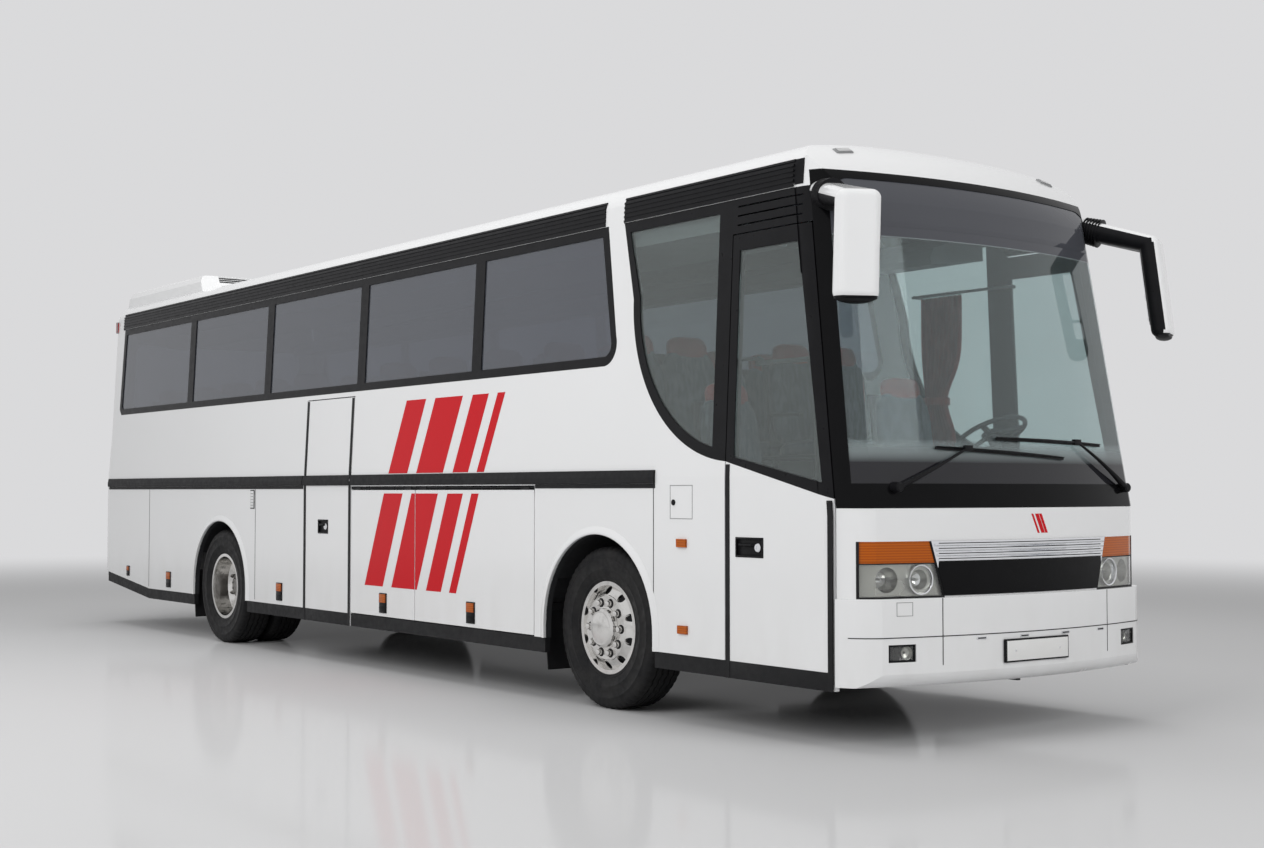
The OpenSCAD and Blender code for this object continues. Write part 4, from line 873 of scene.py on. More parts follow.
def makeSeals(s):
    for door in ("mid_door", "front_door"):
        bm = bmesh.new()
        (rear, _), (front, _) = s[door]
        for (x, top), inward in zip(s[door], (1, -1)):
            grid = []
            for k in range(s["rows"] + 1):
                z = lerp(s["foot"], top, k / s["rows"])
                near = x + inward * s["edge"]
                if x == doorFrontX:
                    near -= max(0.0, z - body["beltZ"]) * s["lean"]
                grid.append([(px, -sideY(z) - s["proud"], z)
                             for px in sorted((near, near + inward * s["wide"]))])
            addSheet(bm, grid, s["proud"] + s["deep"], (0, -1, 0))
        inset = s["edge"] + s["wide"]
        addBox(bm, (rear + inset, -halfW - s["proud"] / 2, s["foot"]),
               (front - inset, -halfW + s["deep"], s["sillTop"]), 0, 0.001)
        finishPiece(bm, door + "_seals", [rubber], door)


makeSeals(sealSet)


# painted shade: black sheets between the louvre ribs above the windows, where the recess lies in shade, laid on
# the wall and round its front corner
coveShadeSet = {"z": (3.119, 3.286), "rows": 9, "proud": 0.0045, "thick": 0.003, "bend": xFa + 1.25, "steps": 14,
           "spans": ((xRear + 0.365, xFa - 0.015), (xFa + 0.195, xFa + 1.885))}


def makeCoveShade(s):
    bm = bmesh.new()
    wall = nodes["right_wall"]
    z0, z1 = s["z"]
    for x0, x1 in s["spans"]:
        stops = [x0, min(x1, s["bend"])]
        if x1 > s["bend"]:
            stops += [lerp(s["bend"], x1, (k + 1) / s["steps"]) for k in range(s["steps"])]
        rows = []
        for x in stops:
            heights = [lerp(z0, z1, k / (s["rows"] - 1)) for k in range(s["rows"])]
            hits = [wall.ray_cast(Vector((x, -2.0, z)), Vector((0, 1, 0)))[1] for z in heights]
            rows.append([(x, hit.y - s["proud"], z) for hit, z in zip(hits, heights)])
        for side in (-1, 1):
            addSheet(bm, [[(x, -side * y, z) for x, y, z in row] for row in rows], s["thick"], (0, side, 0))
    finishPiece(bm, "cove_painted_shade", [satin], "coach")


makeCoveShade(coveShadeSet)


# red slanted bars on both sides and small ones on the mask
designSet = {"foot": 0.66, "top": 2.10, "slant": 0.62, "thick": 0.0012,
             "bars": ((-3.20, 0.30), (-2.76, 0.40), (-2.22, 0.22), (-1.88, 0.10))}


def clipShape(points, lo, hi, k):
    # keeps the part of a flat outline between two values of one coordinate
    for limit, sign in ((lo, 1), (hi, -1)):
        kept = []
        for p, q in zip(points, points[1:] + points[:1]):
            dp, dq = sign * (p[k] - limit), sign * (q[k] - limit)
            if dp >= 0:
                kept.append(p)
            if dp * dq < 0:
                t = dp / (dp - dq)
                kept.append((lerp(p[0], q[0], t), lerp(p[1], q[1], t)))
        points = kept
        if not points:
            break
    return points


def addDecal(bm, outline, side, thick):
    if len(outline) < 3:
        return
    top = [bm.verts.new((x, side * (sideY(z) + thick), z)) for x, z in outline]
    low = [bm.verts.new((x, side * (sideY(z) - 0.0005), z)) for x, z in outline]
    bm.faces.new(top)
    bm.faces.new(low[::-1])
    count = len(outline)
    for i in range(count):
        j = (i + 1) % count
        bm.faces.new((top[i], low[i], low[j], top[j]))


def makeDesign(s):
    for side, name in ((-1, "right"), (1, "left")):
        spans = [("coach", "upper", -20.0, 20.0, 1.540, 2.16),
                 (name + "_flap_rear", "rear", -20.0, flapSplit - 0.005, 0.435, 1.386),
                 (name + "_flap_front", "front", flapSplit + 0.005, flapFront - 0.006, 0.435, 1.386)]
        for rides, where, x0, x1, z0, z1 in spans:
            bm = bmesh.new()
            for start, wide in s["bars"]:
                bar = [(xFa + start, s["foot"]), (xFa + start + wide, s["foot"]),
                       (xFa + start + wide + s["slant"], s["top"]), (xFa + start + s["slant"], s["top"])]
                addDecal(bm, clipShape(clipShape(bar, x0, x1, 0), z0, z1, 1), side, s["thick"])
            finishPiece(bm, name + "_bars_" + where, [redPaint], rides)


makeDesign(designSet)

badgeSet = {"y": 0.06, "low": 1.165, "top": 1.275, "slant": -0.055,
            "bars": ((0.075, 0.022), (0.040, 0.030), (0.008, 0.016))}


def makeBadge(s):
    bm = bmesh.new()
    for start, wide in s["bars"]:
        grid = []
        for k in range(5):
            t = k / 4
            z = lerp(s["low"], s["top"], t)
            grid.append([(frontX(y, z, 0.0012), y, z) for y in
                         (s["y"] + start + s["slant"] * t, s["y"] + start + wide + s["slant"] * t)])
        addSheet(bm, grid, 0.002, (1, 0, 0))
    finishPiece(bm, "front_bars", [redPaint], "coach")


makeBadge(badgeSet)
print("red design made")


# side lamps: black housings with an amber lens over a dark one, on the wall or on the flap that carries them
sideLampSet = {"wide": 0.115, "high": 0.155, "proud": 0.012, "wallX": (-8.46, -7.34, -4.78),
               "rearFlapX": (-2.89,), "frontFlapX": (-1.57,), "z": 0.532, "lastRise": 0.045,
               "lastShare": 0.68, "rim": 0.006, "gap": 0.002}


def makeSideLamps(s):
    for side, name in ((-1, "right"), (1, "left")):
        for rides, places in (("coach", s["wallX"]), (name + "_flap_rear", s["rearFlapX"]),
                              (name + "_flap_front", s["frontFlapX"])):
            bm = bmesh.new()
            for dx in places:
                last = dx == min(s["wallX"])  # the rearmost is smaller, over the rising sill
                share = s["lastShare"] if last else 1.0
                x, z = xFa + dx, s["z"] + (s["lastRise"] if last else 0.0)
                w, h = s["wide"] / 2 * share, s["high"] / 2 * share
                lens = (x - w + s["rim"], x + w - s["rim"])
                out, gap = s["proud"], s["gap"]
                addSideBox(bm, side, (x - w, x + w), (-gap, out * 0.6), (z - h, z + h), 0, 0.003)
                addSideBox(bm, side, lens, (gap, out), (z + gap, z + h - s["rim"]), 1, 0.002)
                addSideBox(bm, side, lens, (gap, out - gap), (z - h + s["rim"], z - gap), 2, 0.002)
            finishPiece(bm, name + "_side_lamps_" + ("wall" if rides == "coach" else rides.split("_")[-1]),
                        [satin, amberLens, gloss], rides)


makeSideLamps(sideLampSet)


# door handles in their recesses, fuel flap with its lock, small vent
handleSet = {"front": (0.10, 0.33, 1.03, 1.13), "mid": (0.28, 0.45, 1.06, 1.16), "rim": 0.008, "lap": 0.004,
             "drop": 0.035}


def makeHandle(name, rides, x0, x1, z0, z1, s):
    bm = bmesh.new()
    rim, lap = s["rim"], s["lap"]
    addSideBox(bm, -1, (x0 + 0.001, x1 - 0.001), (-0.017, -0.010), (z0 + 0.001, z1 - 0.001), 0, 0.002)
    for xs, zs in (((x0 - rim, x1 + rim), (z0 - rim, z0 + lap)),
                   ((x0 - rim, x1 + rim), (z1 - lap, z1 + rim)), ((x0 - rim, x0 + lap), (z0, z1)),
                   ((x1 - lap, x1 + rim), (z0, z1))):
        addSideBox(bm, -1, xs, (-0.012, 0.004), zs, 0, 0.003)
    reach, gripZ = x1 - x0, z1 - s["drop"]
    grip = ((0.02, -0.012, 0.0), (0.035, 0.004, 0.0), (reach * 0.62, 0.006, 0.001),
            (reach * 0.66, -0.012, 0.001))
    addTube(bm, [(x0 + along, -halfW - out, gripZ - low) for along, out, low in grip], 0.011, 10, 0, 0.8)
    lock = [(0, 0.0), (0.026, 0.0), (0.026, 0.010), (0.022, 0.014), (0.010, 0.014), (0.009, 0.011),
            (0, 0.011)]
    addLathe(bm, lock, (x1 - 0.045, -halfW + 0.011, (z0 + z1) / 2), (0, -1, 0), 24, 1)
    finishPiece(bm, name, [satin, chrome], rides)


for door, rear in (("front", doorRearX), ("mid", midRearX)):
    x0, x1, z0, z1 = handleSet[door]
    makeHandle(door + "_door_handle", door + "_door", rear + x0, rear + x1, z0, z1, handleSet)

fuelSet = {"x": (0.77, 0.99), "z": (1.235, 1.440), "line": 0.004, "lock": (0.805, 1.335),
           "vent": (-5.36, 1.33), "ventRims": ((0.044, 0.084, 0.003, 0, 0.002),
                                               (0.038, 0.078, 0.006, 2, 0.003)), "slats": 5,
           "slatPitch": 0.026}


def makeFuelFlap(s):
    bm = bmesh.new()
    for xa, xb, za, zb in rimBars(xFa + s["x"][0], xFa + s["x"][1], *s["z"], s["line"]):
        addSideBox(bm, -1, (xa, xb), (-0.002, 0.0012), (za, zb), 1)
    lockX, lockZ = s["lock"]
    addStud(bm, (xFa + lockX, -halfW, lockZ), (0, -1, 0), -0.002, 0.018, 0.005, 0.014, 0.008, 24)
    x, z = xFa + s["vent"][0], s["vent"][1]
    for wide, high, out, mat, bevel in s["ventRims"]:
        addSideBox(bm, -1, (x - wide, x + wide), (-0.002, out), (z - high, z + high), mat, bevel)
    for k in range(s["slats"]):
        low = z - 0.056 + k * s["slatPitch"]
        addSideBox(bm, -1, (x - 0.026, x + 0.026), (0.004, 0.0075), (low, low + 0.006), 1)
    finishPiece(bm, "fuel_flap_and_vent", [satin, greyPlastic, whitePaint], "coach")


makeFuelFlap(fuelSet)
print("side fittings made")


# headlamps: reflector bowls with bulbs behind the cover glass
headlampSet = {
    "places": ((0.80, 0.078), (0.99, 0.070)), "z": 0.920, "back": 0.13, "sweep": 0.5, "toe": 0.12,
    "throat": 0.012, "bowl": ((0.45, -0.066), (0.75, -0.040), (0.93, -0.006), (0.97, 0.012), (1.06, 0.014),
                              (1.06, 0.006), (1.0, -0.006), (0.8, -0.046), (0.48, -0.074)),
    "bulb": ((0, -0.080), (0.011, -0.080), (0.011, -0.050), (0.008, -0.030), (0.004, -0.022), (0, -0.020)),
}


def makeHeadlampInsides(s):
    bm = bmesh.new()
    firstY = s["places"][0][0]
    for side in (-1, 1):
        for y, r in s["places"]:
            at = (xFront - s["back"] - (y - firstY) * s["sweep"], side * y, s["z"])
            facing = (1.0, side * s["toe"], 0.0)
            bowl = [(r * share, along) for share, along in s["bowl"]]
            addLathe(bm, [(s["throat"], -0.075), *bowl, (s["throat"], -0.082)], at, facing, 36, 0, True)
            addLathe(bm, s["bulb"], at, facing, 16, 1)
    finishPiece(bm, "headlamp_bowls", [chrome, clearLens], "coach")


makeHeadlampInsides(headlampSet)


# slats over the black panel, standing out of the grille between the lamps
slatSet = {"count": 4, "low": 1.016, "pitch": 0.028, "high": 0.017, "proud": 0.016, "sunk": 0.002,
           "short": 0.012, "steps": 24, "section": ((0.0, 0.0), (0.55, 0.02), (0.95, 0.30), (1.0, 0.55),
                                                    (0.75, 0.90), (0.0, 1.0))}
gasketSet = {"wide": 0.010, "out": (0.650, 0.740), "edge": 1.160, "z": (0.830, 1.130), "split": 1.009,
             "splitY": 0.702, "proud": 0.003, "rows": 6}


def makeSlats(s):
    bm = bmesh.new()
    foot, top = gasketSet["z"]
    for k in range(s["count"]):
        z0 = s["low"] + k * s["pitch"]
        reach = lerp(*gasketSet["out"], (z0 - foot) / (top - foot)) - s["short"]
        rings = []
        for j in range(s["steps"] + 1):
            y = reach * (2 * j / s["steps"] - 1)
            rings.append([bm.verts.new((frontX(y, 1.0, s["proud"] * out - s["sunk"] * (1 - out)), y,
                                        z0 + s["high"] * up))
                          for out, up in s["section"]])
        skinRings(bm, rings)
    finishPiece(bm, "grille_slats", [chrome], "coach")


makeSlats(slatSet)


# black gaskets round the lamps
def makeGaskets(s):
    bm = bmesh.new()
    (z0, z1), w = s["z"], s["wide"]
    for side in (-1, 1):
        for lo, hi, low, high in ((s["edge"], s["edge"] + w, z0 - w, z1),
                                  (s["out"][0], s["edge"], z0 - w, z0),
                                  (s["splitY"], s["edge"], s["split"] - w * 0.3, s["split"] + w * 0.3)):
            addFrontLine(bm, side * lo, side * hi, low, high, s["proud"], 0, 40, False)
        grid = []
        for k in range(s["rows"] + 1):
            t = k / s["rows"]
            z, y = lerp(z0, z1, t), lerp(*s["out"], t)
            grid.append([(frontX(side * yy, z, s["proud"]), side * yy, z)
                         for yy in (y - w * 0.6, y + w * 0.6)])
        addSheet(bm, grid, s["proud"] + 0.004, (1, 0, 0))
    finishPiece(bm, "lamp_gaskets", [rubber], "coach")


makeGaskets(gasketSet)


# bumper: dark lines of painted shade in its seams and in place of its groove, slots, cover and blank plate,
# then the fog lamps
bumperSet = {"grooveShadeZ": 0.610, "grooveShadeReach": 1.215, "grooveShadeSteps": 180, "seamY": 0.70, "panelZ": (0.455, 0.820),
             "line": 0.005, "slots": (-0.43, -0.10, 0.26, 0.62), "slotZ": 0.592,
             "slotBars": ((0.036, -0.007, 0.007, 0.004, 1), (0.028, -0.004, 0.003, 0.0055, 0)),
             "cover": (-0.94, 0.765, 0.10, 0.075), "coverLine": 0.003, "plate": (0.52, 0.115, 0.512)}


def makeBumperTrim(s):
    bm = bmesh.new()
    w = s["line"]
    # painted shade: a dark line where the bumper's groove would cast its shade
    addFrontLine(bm, -s["grooveShadeReach"], s["grooveShadeReach"], s["grooveShadeZ"], s["grooveShadeZ"] + w, 0.0016, 0, s["grooveShadeSteps"])
    # dark vertical seam lines: painted shade in the joints
    for side in (-1, 1):
        y = side * s["seamY"]
        addFrontLine(bm, y, y + w, *s["panelZ"], 0.0012, 0, 1)
    for y in s["slots"]:
        for half, low, high, out, mat in s["slotBars"]:
            addFrontLine(bm, y - half, y + half, s["slotZ"] + low, s["slotZ"] + high, out, mat, 4)
    cy, cz, cw, ch = s["cover"]
    for bar in rimBars(cy - cw / 2, cy + cw / 2, cz - ch / 2, cz + ch / 2, s["coverLine"]):
        addFrontLine(bm, *bar, 0.001, 2, 2)
    finishPiece(bm, "bumper_seam_shade_and_trim", [rubber, chrome, greyPlastic], "coach")
    bm = bmesh.new()
    wide, _, z = s["plate"]
    x = frontX(0, z, 0.0, True)
    addPlate(bm, x, 1, s["plate"], -0.006)
    for y in (-wide * 0.36, wide * 0.36):
        addStud(bm, (x + 0.0125, y, z), (1, 0, 0), 0, 0.006, 0.001, 0.003, 0.003, 12, 2)
    finishPiece(bm, "front_plate", [satin, blankPlate, chrome], "coach")


makeBumperTrim(bumperSet)

fogSet = {"y": 0.955, "z": 0.5275, "halfWide": 0.083, "halfHigh": 0.046, "bowlIn": 0.035,
          "bowl": ((0.006, -0.046), (0.024, -0.040), (0.034, -0.020), (0.036, -0.018), (0.026, -0.044),
                   (0.006, -0.050))}


def makeFogLamps(s):
    bm = bmesh.new()
    for side in (-1, 1):
        y0 = side * s["y"]
        turn = math.asin(y0 / body["frontR"])
        spin = Matrix.Rotation(turn, 3, "Z")
        at = Vector((frontX(y0, 0.5, 0.0, True), y0, s["z"]))

        def slab(lo, hi, mat, bevel):
            lo, hi = Vector(lo), Vector(hi)
            addBlock(bm, at + spin @ ((lo + hi) / 2), (hi - lo) / 2, mat, bevel, spin)

        w, h = s["halfWide"], s["halfHigh"]
        slab((-0.060, -w, -h), (-0.048, w, h), 0, 0.002)
        for ya, yb, za, zb in rimBars(-w, w, -h, h, 0.007):
            slab((-0.05, ya, za), (-0.004, yb, zb), 0, 0.0015)
        addLathe(bm, s["bowl"], at + spin @ Vector((0, -side * s["bowlIn"], 0)), spin @ Vector((1, 0, 0)),
                 28, 1, True)
        slab((-0.016, -w + 0.008, -h + 0.008), (-0.010, w - 0.008, h - 0.008), 2, 0.002)
    finishPiece(bm, "fog_lamps", [satin, reflector, lampGlass], "coach")


makeFogLamps(fogSet)
print("front fittings made")


# wiper blades and their arms over the screen's foot
wiperSet = {"pivotZ": 1.425, "bladeSteps": 24, "claws": (3, 9, 15, 21),
            "armR": (0.022, 0.021, 0.019, 0.016, 0.014, 0.012, 0.011, 0.010, 0.009),
            "wipers": ((-0.95, -0.45, (-0.66, 1.648), (0.36, 1.597)),
                       (1.02, 0.50, (0.78, 1.681), (-0.21, 1.704)))}


def makeWipers(s):
    bm = bmesh.new()
    for pivotY, holdY, start, end in s["wipers"]:
        def bladeAt(t):
            return lerp(start[0], end[0], t), lerp(start[1], end[1], t)

        hold = (holdY - start[0]) / (end[0] - start[0])
        holdZ = bladeAt(hold)[1]
        arm = []
        last, steps = len(s["armR"]) - 1, s["bladeSteps"]
        for k in range(last + 1):
            t = k / last
            y, z = lerp(pivotY, holdY, t), lerp(s["pivotZ"], holdZ + 0.008, t)
            arm.append((frontX(y, z, 0.026 + 0.012 * math.sin(math.pi * t)), y, z))
        addTube(bm, arm, s["armR"], 10, 0, 0.75)
        addLathe(bm, [(0, 0.018), (0.020, 0.018), (0.028, 0.010), (0.030, -0.040), (0, -0.040)],
                 (frontX(pivotY, s["pivotZ"], 0.026) + 0.006, pivotY, s["pivotZ"]), (1, 0, 0), 24, 0)
        blade, spine = [], []
        bow = [math.sin(math.pi * k / steps) for k in range(steps + 1)]
        for k in range(steps + 1):
            y, z = bladeAt(k / steps)
            blade.append((frontX(y, z, 0.008), y, z - 0.004))
            spine.append((frontX(y, z, 0.016 + 0.008 * bow[k]), y, z + 0.004))
        addTube(bm, blade, 0.006, 6, 1, 1.6)
        addTube(bm, spine, [0.004 + 0.006 * b for b in bow], 8, 0, 0.7)
        for k in s["claws"]:
            addTube(bm, [blade[k], spine[k]], 0.006, 6, 0)
        x = frontX(holdY, holdZ, 0.0)
        addBox(bm, (x + 0.012, holdY - 0.03, holdZ - 0.010), (x + 0.036, holdY + 0.03, holdZ + 0.022), 0,
               0.004)
    piece = finishPiece(bm, "wiper_arms_and_blades", [satin, rubber], "coach")
    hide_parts("wipers")


makeWipers(wiperSet)


# marker lamps on the roof's front and rear edges
roofLampSet = {"y": (-0.87, 0.87), "back": 0.645, "half": 0.060, "rise": 0.012, "rearZ": (3.10, 3.22)}


def makeRoofLamps(s):
    bm = bmesh.new()
    roof = nodes["roof"]
    for y in s["y"]:
        # each lamp lies on the brow where it leans most
        _, at, normal, _ = roof.ray_cast(Vector((xFront - s["back"], y, 4.0)), Vector((0, 0, -1)))
        across = (Vector((0, 1, 0)) - normal * normal.y).normalized()
        turn = Matrix((across.cross(normal), across, normal)).transposed()
        for half, low, high, mat in ((s["half"], -0.006, s["rise"] * 0.6, 0),
                                     (s["half"] * 0.84, 0.002, s["rise"], 1)):
            mid = at + turn @ Vector((0, 0, (low + high) / 2))
            addBlock(bm, mid, (half * 0.42, half, (high - low) / 2), mat, 0.004, turn)
    for side in (-1, 1):
        z0, z1 = s["rearZ"]
        x = rearX(z0) + 0.060
        addSideBox(bm, side, (x - 0.030, x + 0.010), (-0.030, 0.022), (z0, z1), 2, 0.008, sideY(z1))
    finishPiece(bm, "roof_marker_lamps", [greyPlastic, clearLens, redLens], "coach")


makeRoofLamps(roofLampSet)


# dark louvre slits in the front slope of the roof unit
louvreSet = {"levels": (3.486, 3.505, 3.524, 3.543), "high": 0.012, "half": 0.84, "proud": 0.0025,
             "steps": 24}


def makeRoofLouvre(s):
    bm = bmesh.new()
    unit = nodes["roof_unit"]
    front = max(v.co.x for v in unit.data.vertices if v.co.z > s["levels"][-1])
    aim = Vector((-1, 0, 0))
    for z in s["levels"]:
        grid = []
        for k in range(s["steps"] + 1):
            y = s["half"] * (2 * k / s["steps"] - 1)
            hits = [unit.ray_cast(Vector((front + 1.0, y, level)), aim) for level in (z, z + s["high"])]
            if all(hit[0] for hit in hits):
                grid.append([hit[1] - aim * s["proud"] for hit in hits])
        if len(grid) > 1:
            addSheet(bm, grid, s["proud"] + 0.002, -aim)
    finishPiece(bm, "roof_unit_louvre", [satin], "coach")


makeRoofLouvre(louvreSet)
print("wipers, roof lamps and louvre made")


# mirror faces, their black rims, ribbed bases and lower lips
mirrorSet = {"yaw": 28.0, "right": ((2.440, -1.270, 2.965), (2.461, -1.310, 2.460)),
             "left": ((2.412, 1.270, 2.934), (2.461, 1.310, 2.400)), "half": 0.127, "depth": 0.0598,
             "foot": (1.095, 3.085), "ribs": 6, "steps": 8, "lipR": (0.020, 0.036, 0.044, 0.047, 0.048,
                                                                     0.047, 0.044, 0.036, 0.020),
             "faces": ((0.06, 0.94, 1.0, 0.004, 0), (0.10, 0.66, 0.84, 0.012, 1),
                       (0.70, 0.90, 0.84, 0.012, 1))}


def makeMirrorTrim(s):
    bm = bmesh.new()
    for side, name in ((-1, "right"), (1, "left")):
        top, tip = (Vector((xFa + p[0], p[1], p[2])) for p in s[name])
        spin = Matrix.Rotation(math.radians(side * s["yaw"]), 3, "Z")
        back, across = spin @ Vector((-1, 0, 0)), spin @ Vector((0, 1, 0))
        down = (tip - top).normalized()
        reach = (tip - top).length
        n = s["steps"]
        for low, high, wide, out, mat in s["faces"]:
            grid = []
            for k in range(n + 1):
                middle = top + down * (reach * lerp(low, high, k / n)) + back * (s["depth"] + out)
                half = s["half"] * 0.62 * wide * (1 - 0.12 * abs(2 * k / n - 1) ** 6)
                grid.append([middle + across * (half * (2 * j / n - 1)) for j in range(n + 1)])
            addSheet(bm, grid, out + 0.012, back, mat)
        lip = []
        for k in range(n + 1):
            v = 2 * k / n - 1
            lip.append(tip + down * (0.030 + 0.014 * (1 - v * v)) + across * (s["half"] * 0.9 * v))
        addTube(bm, lip, s["lipR"], 12, 0, 0.45)
        foot = Vector((xFront - 0.60, side * s["foot"][0], s["foot"][1]))
        axisTo = (top - foot).normalized()
        for k in range(s["ribs"]):
            at = foot + axisTo * (0.080 + 0.020 * k)
            r = 0.083 + 0.0015 * k
            rib = [(0.04, -0.007), (r - 0.010, -0.007), (r, -0.003), (r, 0.003), (r - 0.010, 0.007),
                   (0.04, 0.007)]
            addLathe(bm, rib, at, axisTo, 32, 0, True)
    finishPiece(bm, "mirror_faces", [satin, mirrorGlass], "coach")


makeMirrorTrim(mirrorSet)


# rear: plate and its lamps, tail lamp dividers, stop lamp, reflectors, flap handle, louvres, tail pipe
rearSet = {
    "plate": (0.52, 0.12, 0.66), "hoodHalf": 0.24, "plateLamps": (-0.14, 0.14),
    "dividers": (0.858, 1.012, 1.162, 1.32, 1.478), "tailY": (0.985, 1.145), "stopZ": (3.048, 3.092),
    "stopY": (-0.20, -0.1, 0, 0.1, 0.20), "reflectorY": (-0.70, 0.70), "reflectorZ": 0.705, "handleZ": 0.93,
    "grip": ((0.002, -0.085), (0.026, -0.070), (0.028, 0.0), (0.026, 0.070), (0.002, 0.085)), "louvres": 6,
    "louvreZ": 1.0235, "louvrePitch": 0.055, "louvreHalf": 0.558, "pipe": (0.053, 0.058, 0.46),
    "pipeFrom": 0.48, "pipeY": 0.78, "pipeZ": 0.43,
}


def makeRearTrim(s):
    bm = bmesh.new()
    addPlate(bm, xRear, -1, s["plate"], -0.004)
    top = s["plate"][2] + s["plate"][1] / 2
    addBox(bm, (xRear - 0.045, -s["hoodHalf"], top + 0.014), (xRear + 0.004, s["hoodHalf"], top + 0.040), 0,
           0.008)
    for y in s["plateLamps"]:
        addBox(bm, (xRear - 0.042, y - 0.04, top + 0.009), (xRear - 0.012, y + 0.04, top + 0.018), 2, 0.003)
    for side in (-1, 1):
        for z in s["dividers"]:
            addSideBox(bm, side, (xRear - 0.006, xRear + 0.03), s["tailY"], (z - 0.003, z + 0.003), 0, 0.001,
                       0.0)
    grid = [[(rearX(z) - 0.012, y, z) for z in s["stopZ"]] for y in s["stopY"]]
    addSheet(bm, grid, 0.016, (-1, 0, 0), 3)
    for y in s["reflectorY"]:
        addStud(bm, (xRear, y, s["reflectorZ"]), (-1, 0, 0), 0, 0.038, 0.006, 0.034, 0.010, 28, 3)
    finishPiece(bm, "rear_plate_and_lamps", [satin, blankPlate, clearLens, redLens], "coach")
    bm = bmesh.new()
    z = s["handleZ"]
    addBox(bm, (xRear - 0.003, -0.13, z - 0.042), (xRear + 0.010, 0.13, z + 0.042), 0, 0.006)
    addTube(bm, [(xRear - out, y, z) for out, y in s["grip"]], 0.011, 12, 1, 0.8)
    for k in range(s["louvres"]):
        z = s["louvreZ"] + k * s["louvrePitch"]
        addBox(bm, (xRear + 0.004, -s["louvreHalf"], z - 0.012), (xRear + 0.008, s["louvreHalf"], z + 0.012),
               0, 0.0015)
    finishPiece(bm, "engine_flap_handle_and_louvres", [satin, chrome], "engine_flap")
    bm = bmesh.new()
    inner, outer, reach = s["pipe"]
    y, z = s["pipeY"], s["pipeZ"]
    addCollar(bm, (xRear + s["pipeFrom"], y, z), (-1, 0, 0), inner, outer, 0.0, reach, 40)
    addBox(bm, (xRear + 0.36, y - 0.018, z + 0.050), (xRear + 0.40, y + 0.018, z + 0.21), 0, 0.003)
    finishPiece(bm, "tail_pipe", [darkSteel], "coach")


makeRearTrim(rearSet)
print("mirrors and rear fittings made")


# seats: sewn pads on shells with legs, red headrest covers
seatSet = {"rows": 11, "pitch": 0.80, "first": xFa + 0.25, "y": 0.70, "half": 0.225, "deck": 1.30,
           "cab": 0.94, "driver": (xFront - 1.39, 0.63, 0.08), "guide": (xFa + 1.02, -0.76, 0.0), "grain": 8,
           "apart": 0.228, "armIn": 0.462, "arm": ((-0.23, 0.63), (-0.02, 0.635), (0.06, 0.625)),
           "legs": (-0.13, 0.07), "bellows": 4}


def addPad(bm, center, half, turn, mat, channels=(), power=4.5, crown=0.16, n=8):
    # rounded pad: one face to the front is crowned, with sewn channels across it and a pulled-in rim
    seen = {}

    def corner(p):
        key = tuple(round(c, 5) for c in p)
        if key in seen:
            return seen[key]
        size = sum(abs(c) ** power for c in p) ** (1 / power)
        q = Vector((p[0] / size, p[1] / size, p[2] / size))
        if q.x > 0:
            dip = sum(0.20 * math.exp(-((q.z - c) / 0.055) ** 2) for c in channels)
            q.x *= 1 + crown * (1 - q.y ** 2) * (1 - q.z ** 2) - dip
            q.x -= 0.22 * math.exp(-((abs(q.y) - 0.86) / 0.07) ** 2) * (abs(q.z) < 0.9)
        seen[key] = bm.verts.new(Vector(center) + turn @ Vector((q.x * half[0], q.y * half[1],
                                                                 q.z * half[2])))
        return seen[key]

    step = [-1 + 2 * k / n for k in range(n + 1)]
    for a in range(3):
        b, c = (a + 1) % 3, (a + 2) % 3
        for sign in (-1, 1):
            for i in range(n):
                for j in range(n):
                    quad = []
                    for u, v in ((i, j), (i + 1, j), (i + 1, j + 1), (i, j + 1)):
                        p = [0, 0, 0]
                        p[a], p[b], p[c] = sign, step[u], step[v]
                        quad.append(corner(p))
                    bm.faces.new(quad if sign > 0 else quad[::-1]).material_index = mat


def addSeat(pads, hard, x, y, z, s, wide=1.0):
    lean = Matrix.Rotation(math.radians(-9.0), 3, "Y")
    lie = Matrix.Rotation(math.radians(-93.0), 3, "Y")
    w, n = s["half"] * wide, s["grain"]
    addPad(pads, (x + 0.005, y, z + 0.395), (0.058, w, 0.245), lie, 0, (-0.30, 0.30), 4.5, 0.16, n)
    addPad(pads, (x - 0.250, y, z + 0.735), (0.055, w * 0.97, 0.315), lean, 0, (-0.55, -0.1, 0.35), 4.5,
           0.18, n)
    addPad(pads, (x - 0.298, y, z + 1.055), (0.046, w * 0.72, 0.088), lean, 1, (), 3.5, 0.2, n - 2)
    addBox(hard, (x - 0.335, y - w * 0.97, z + 0.40), (x - 0.300, y + w * 0.97, z + 1.03), 0, 0.012, lean)
    addBox(hard, (x - 0.25, y - w * 0.98, z + 0.325), (x + 0.235, y + w * 0.98, z + 0.352), 0, 0.010)


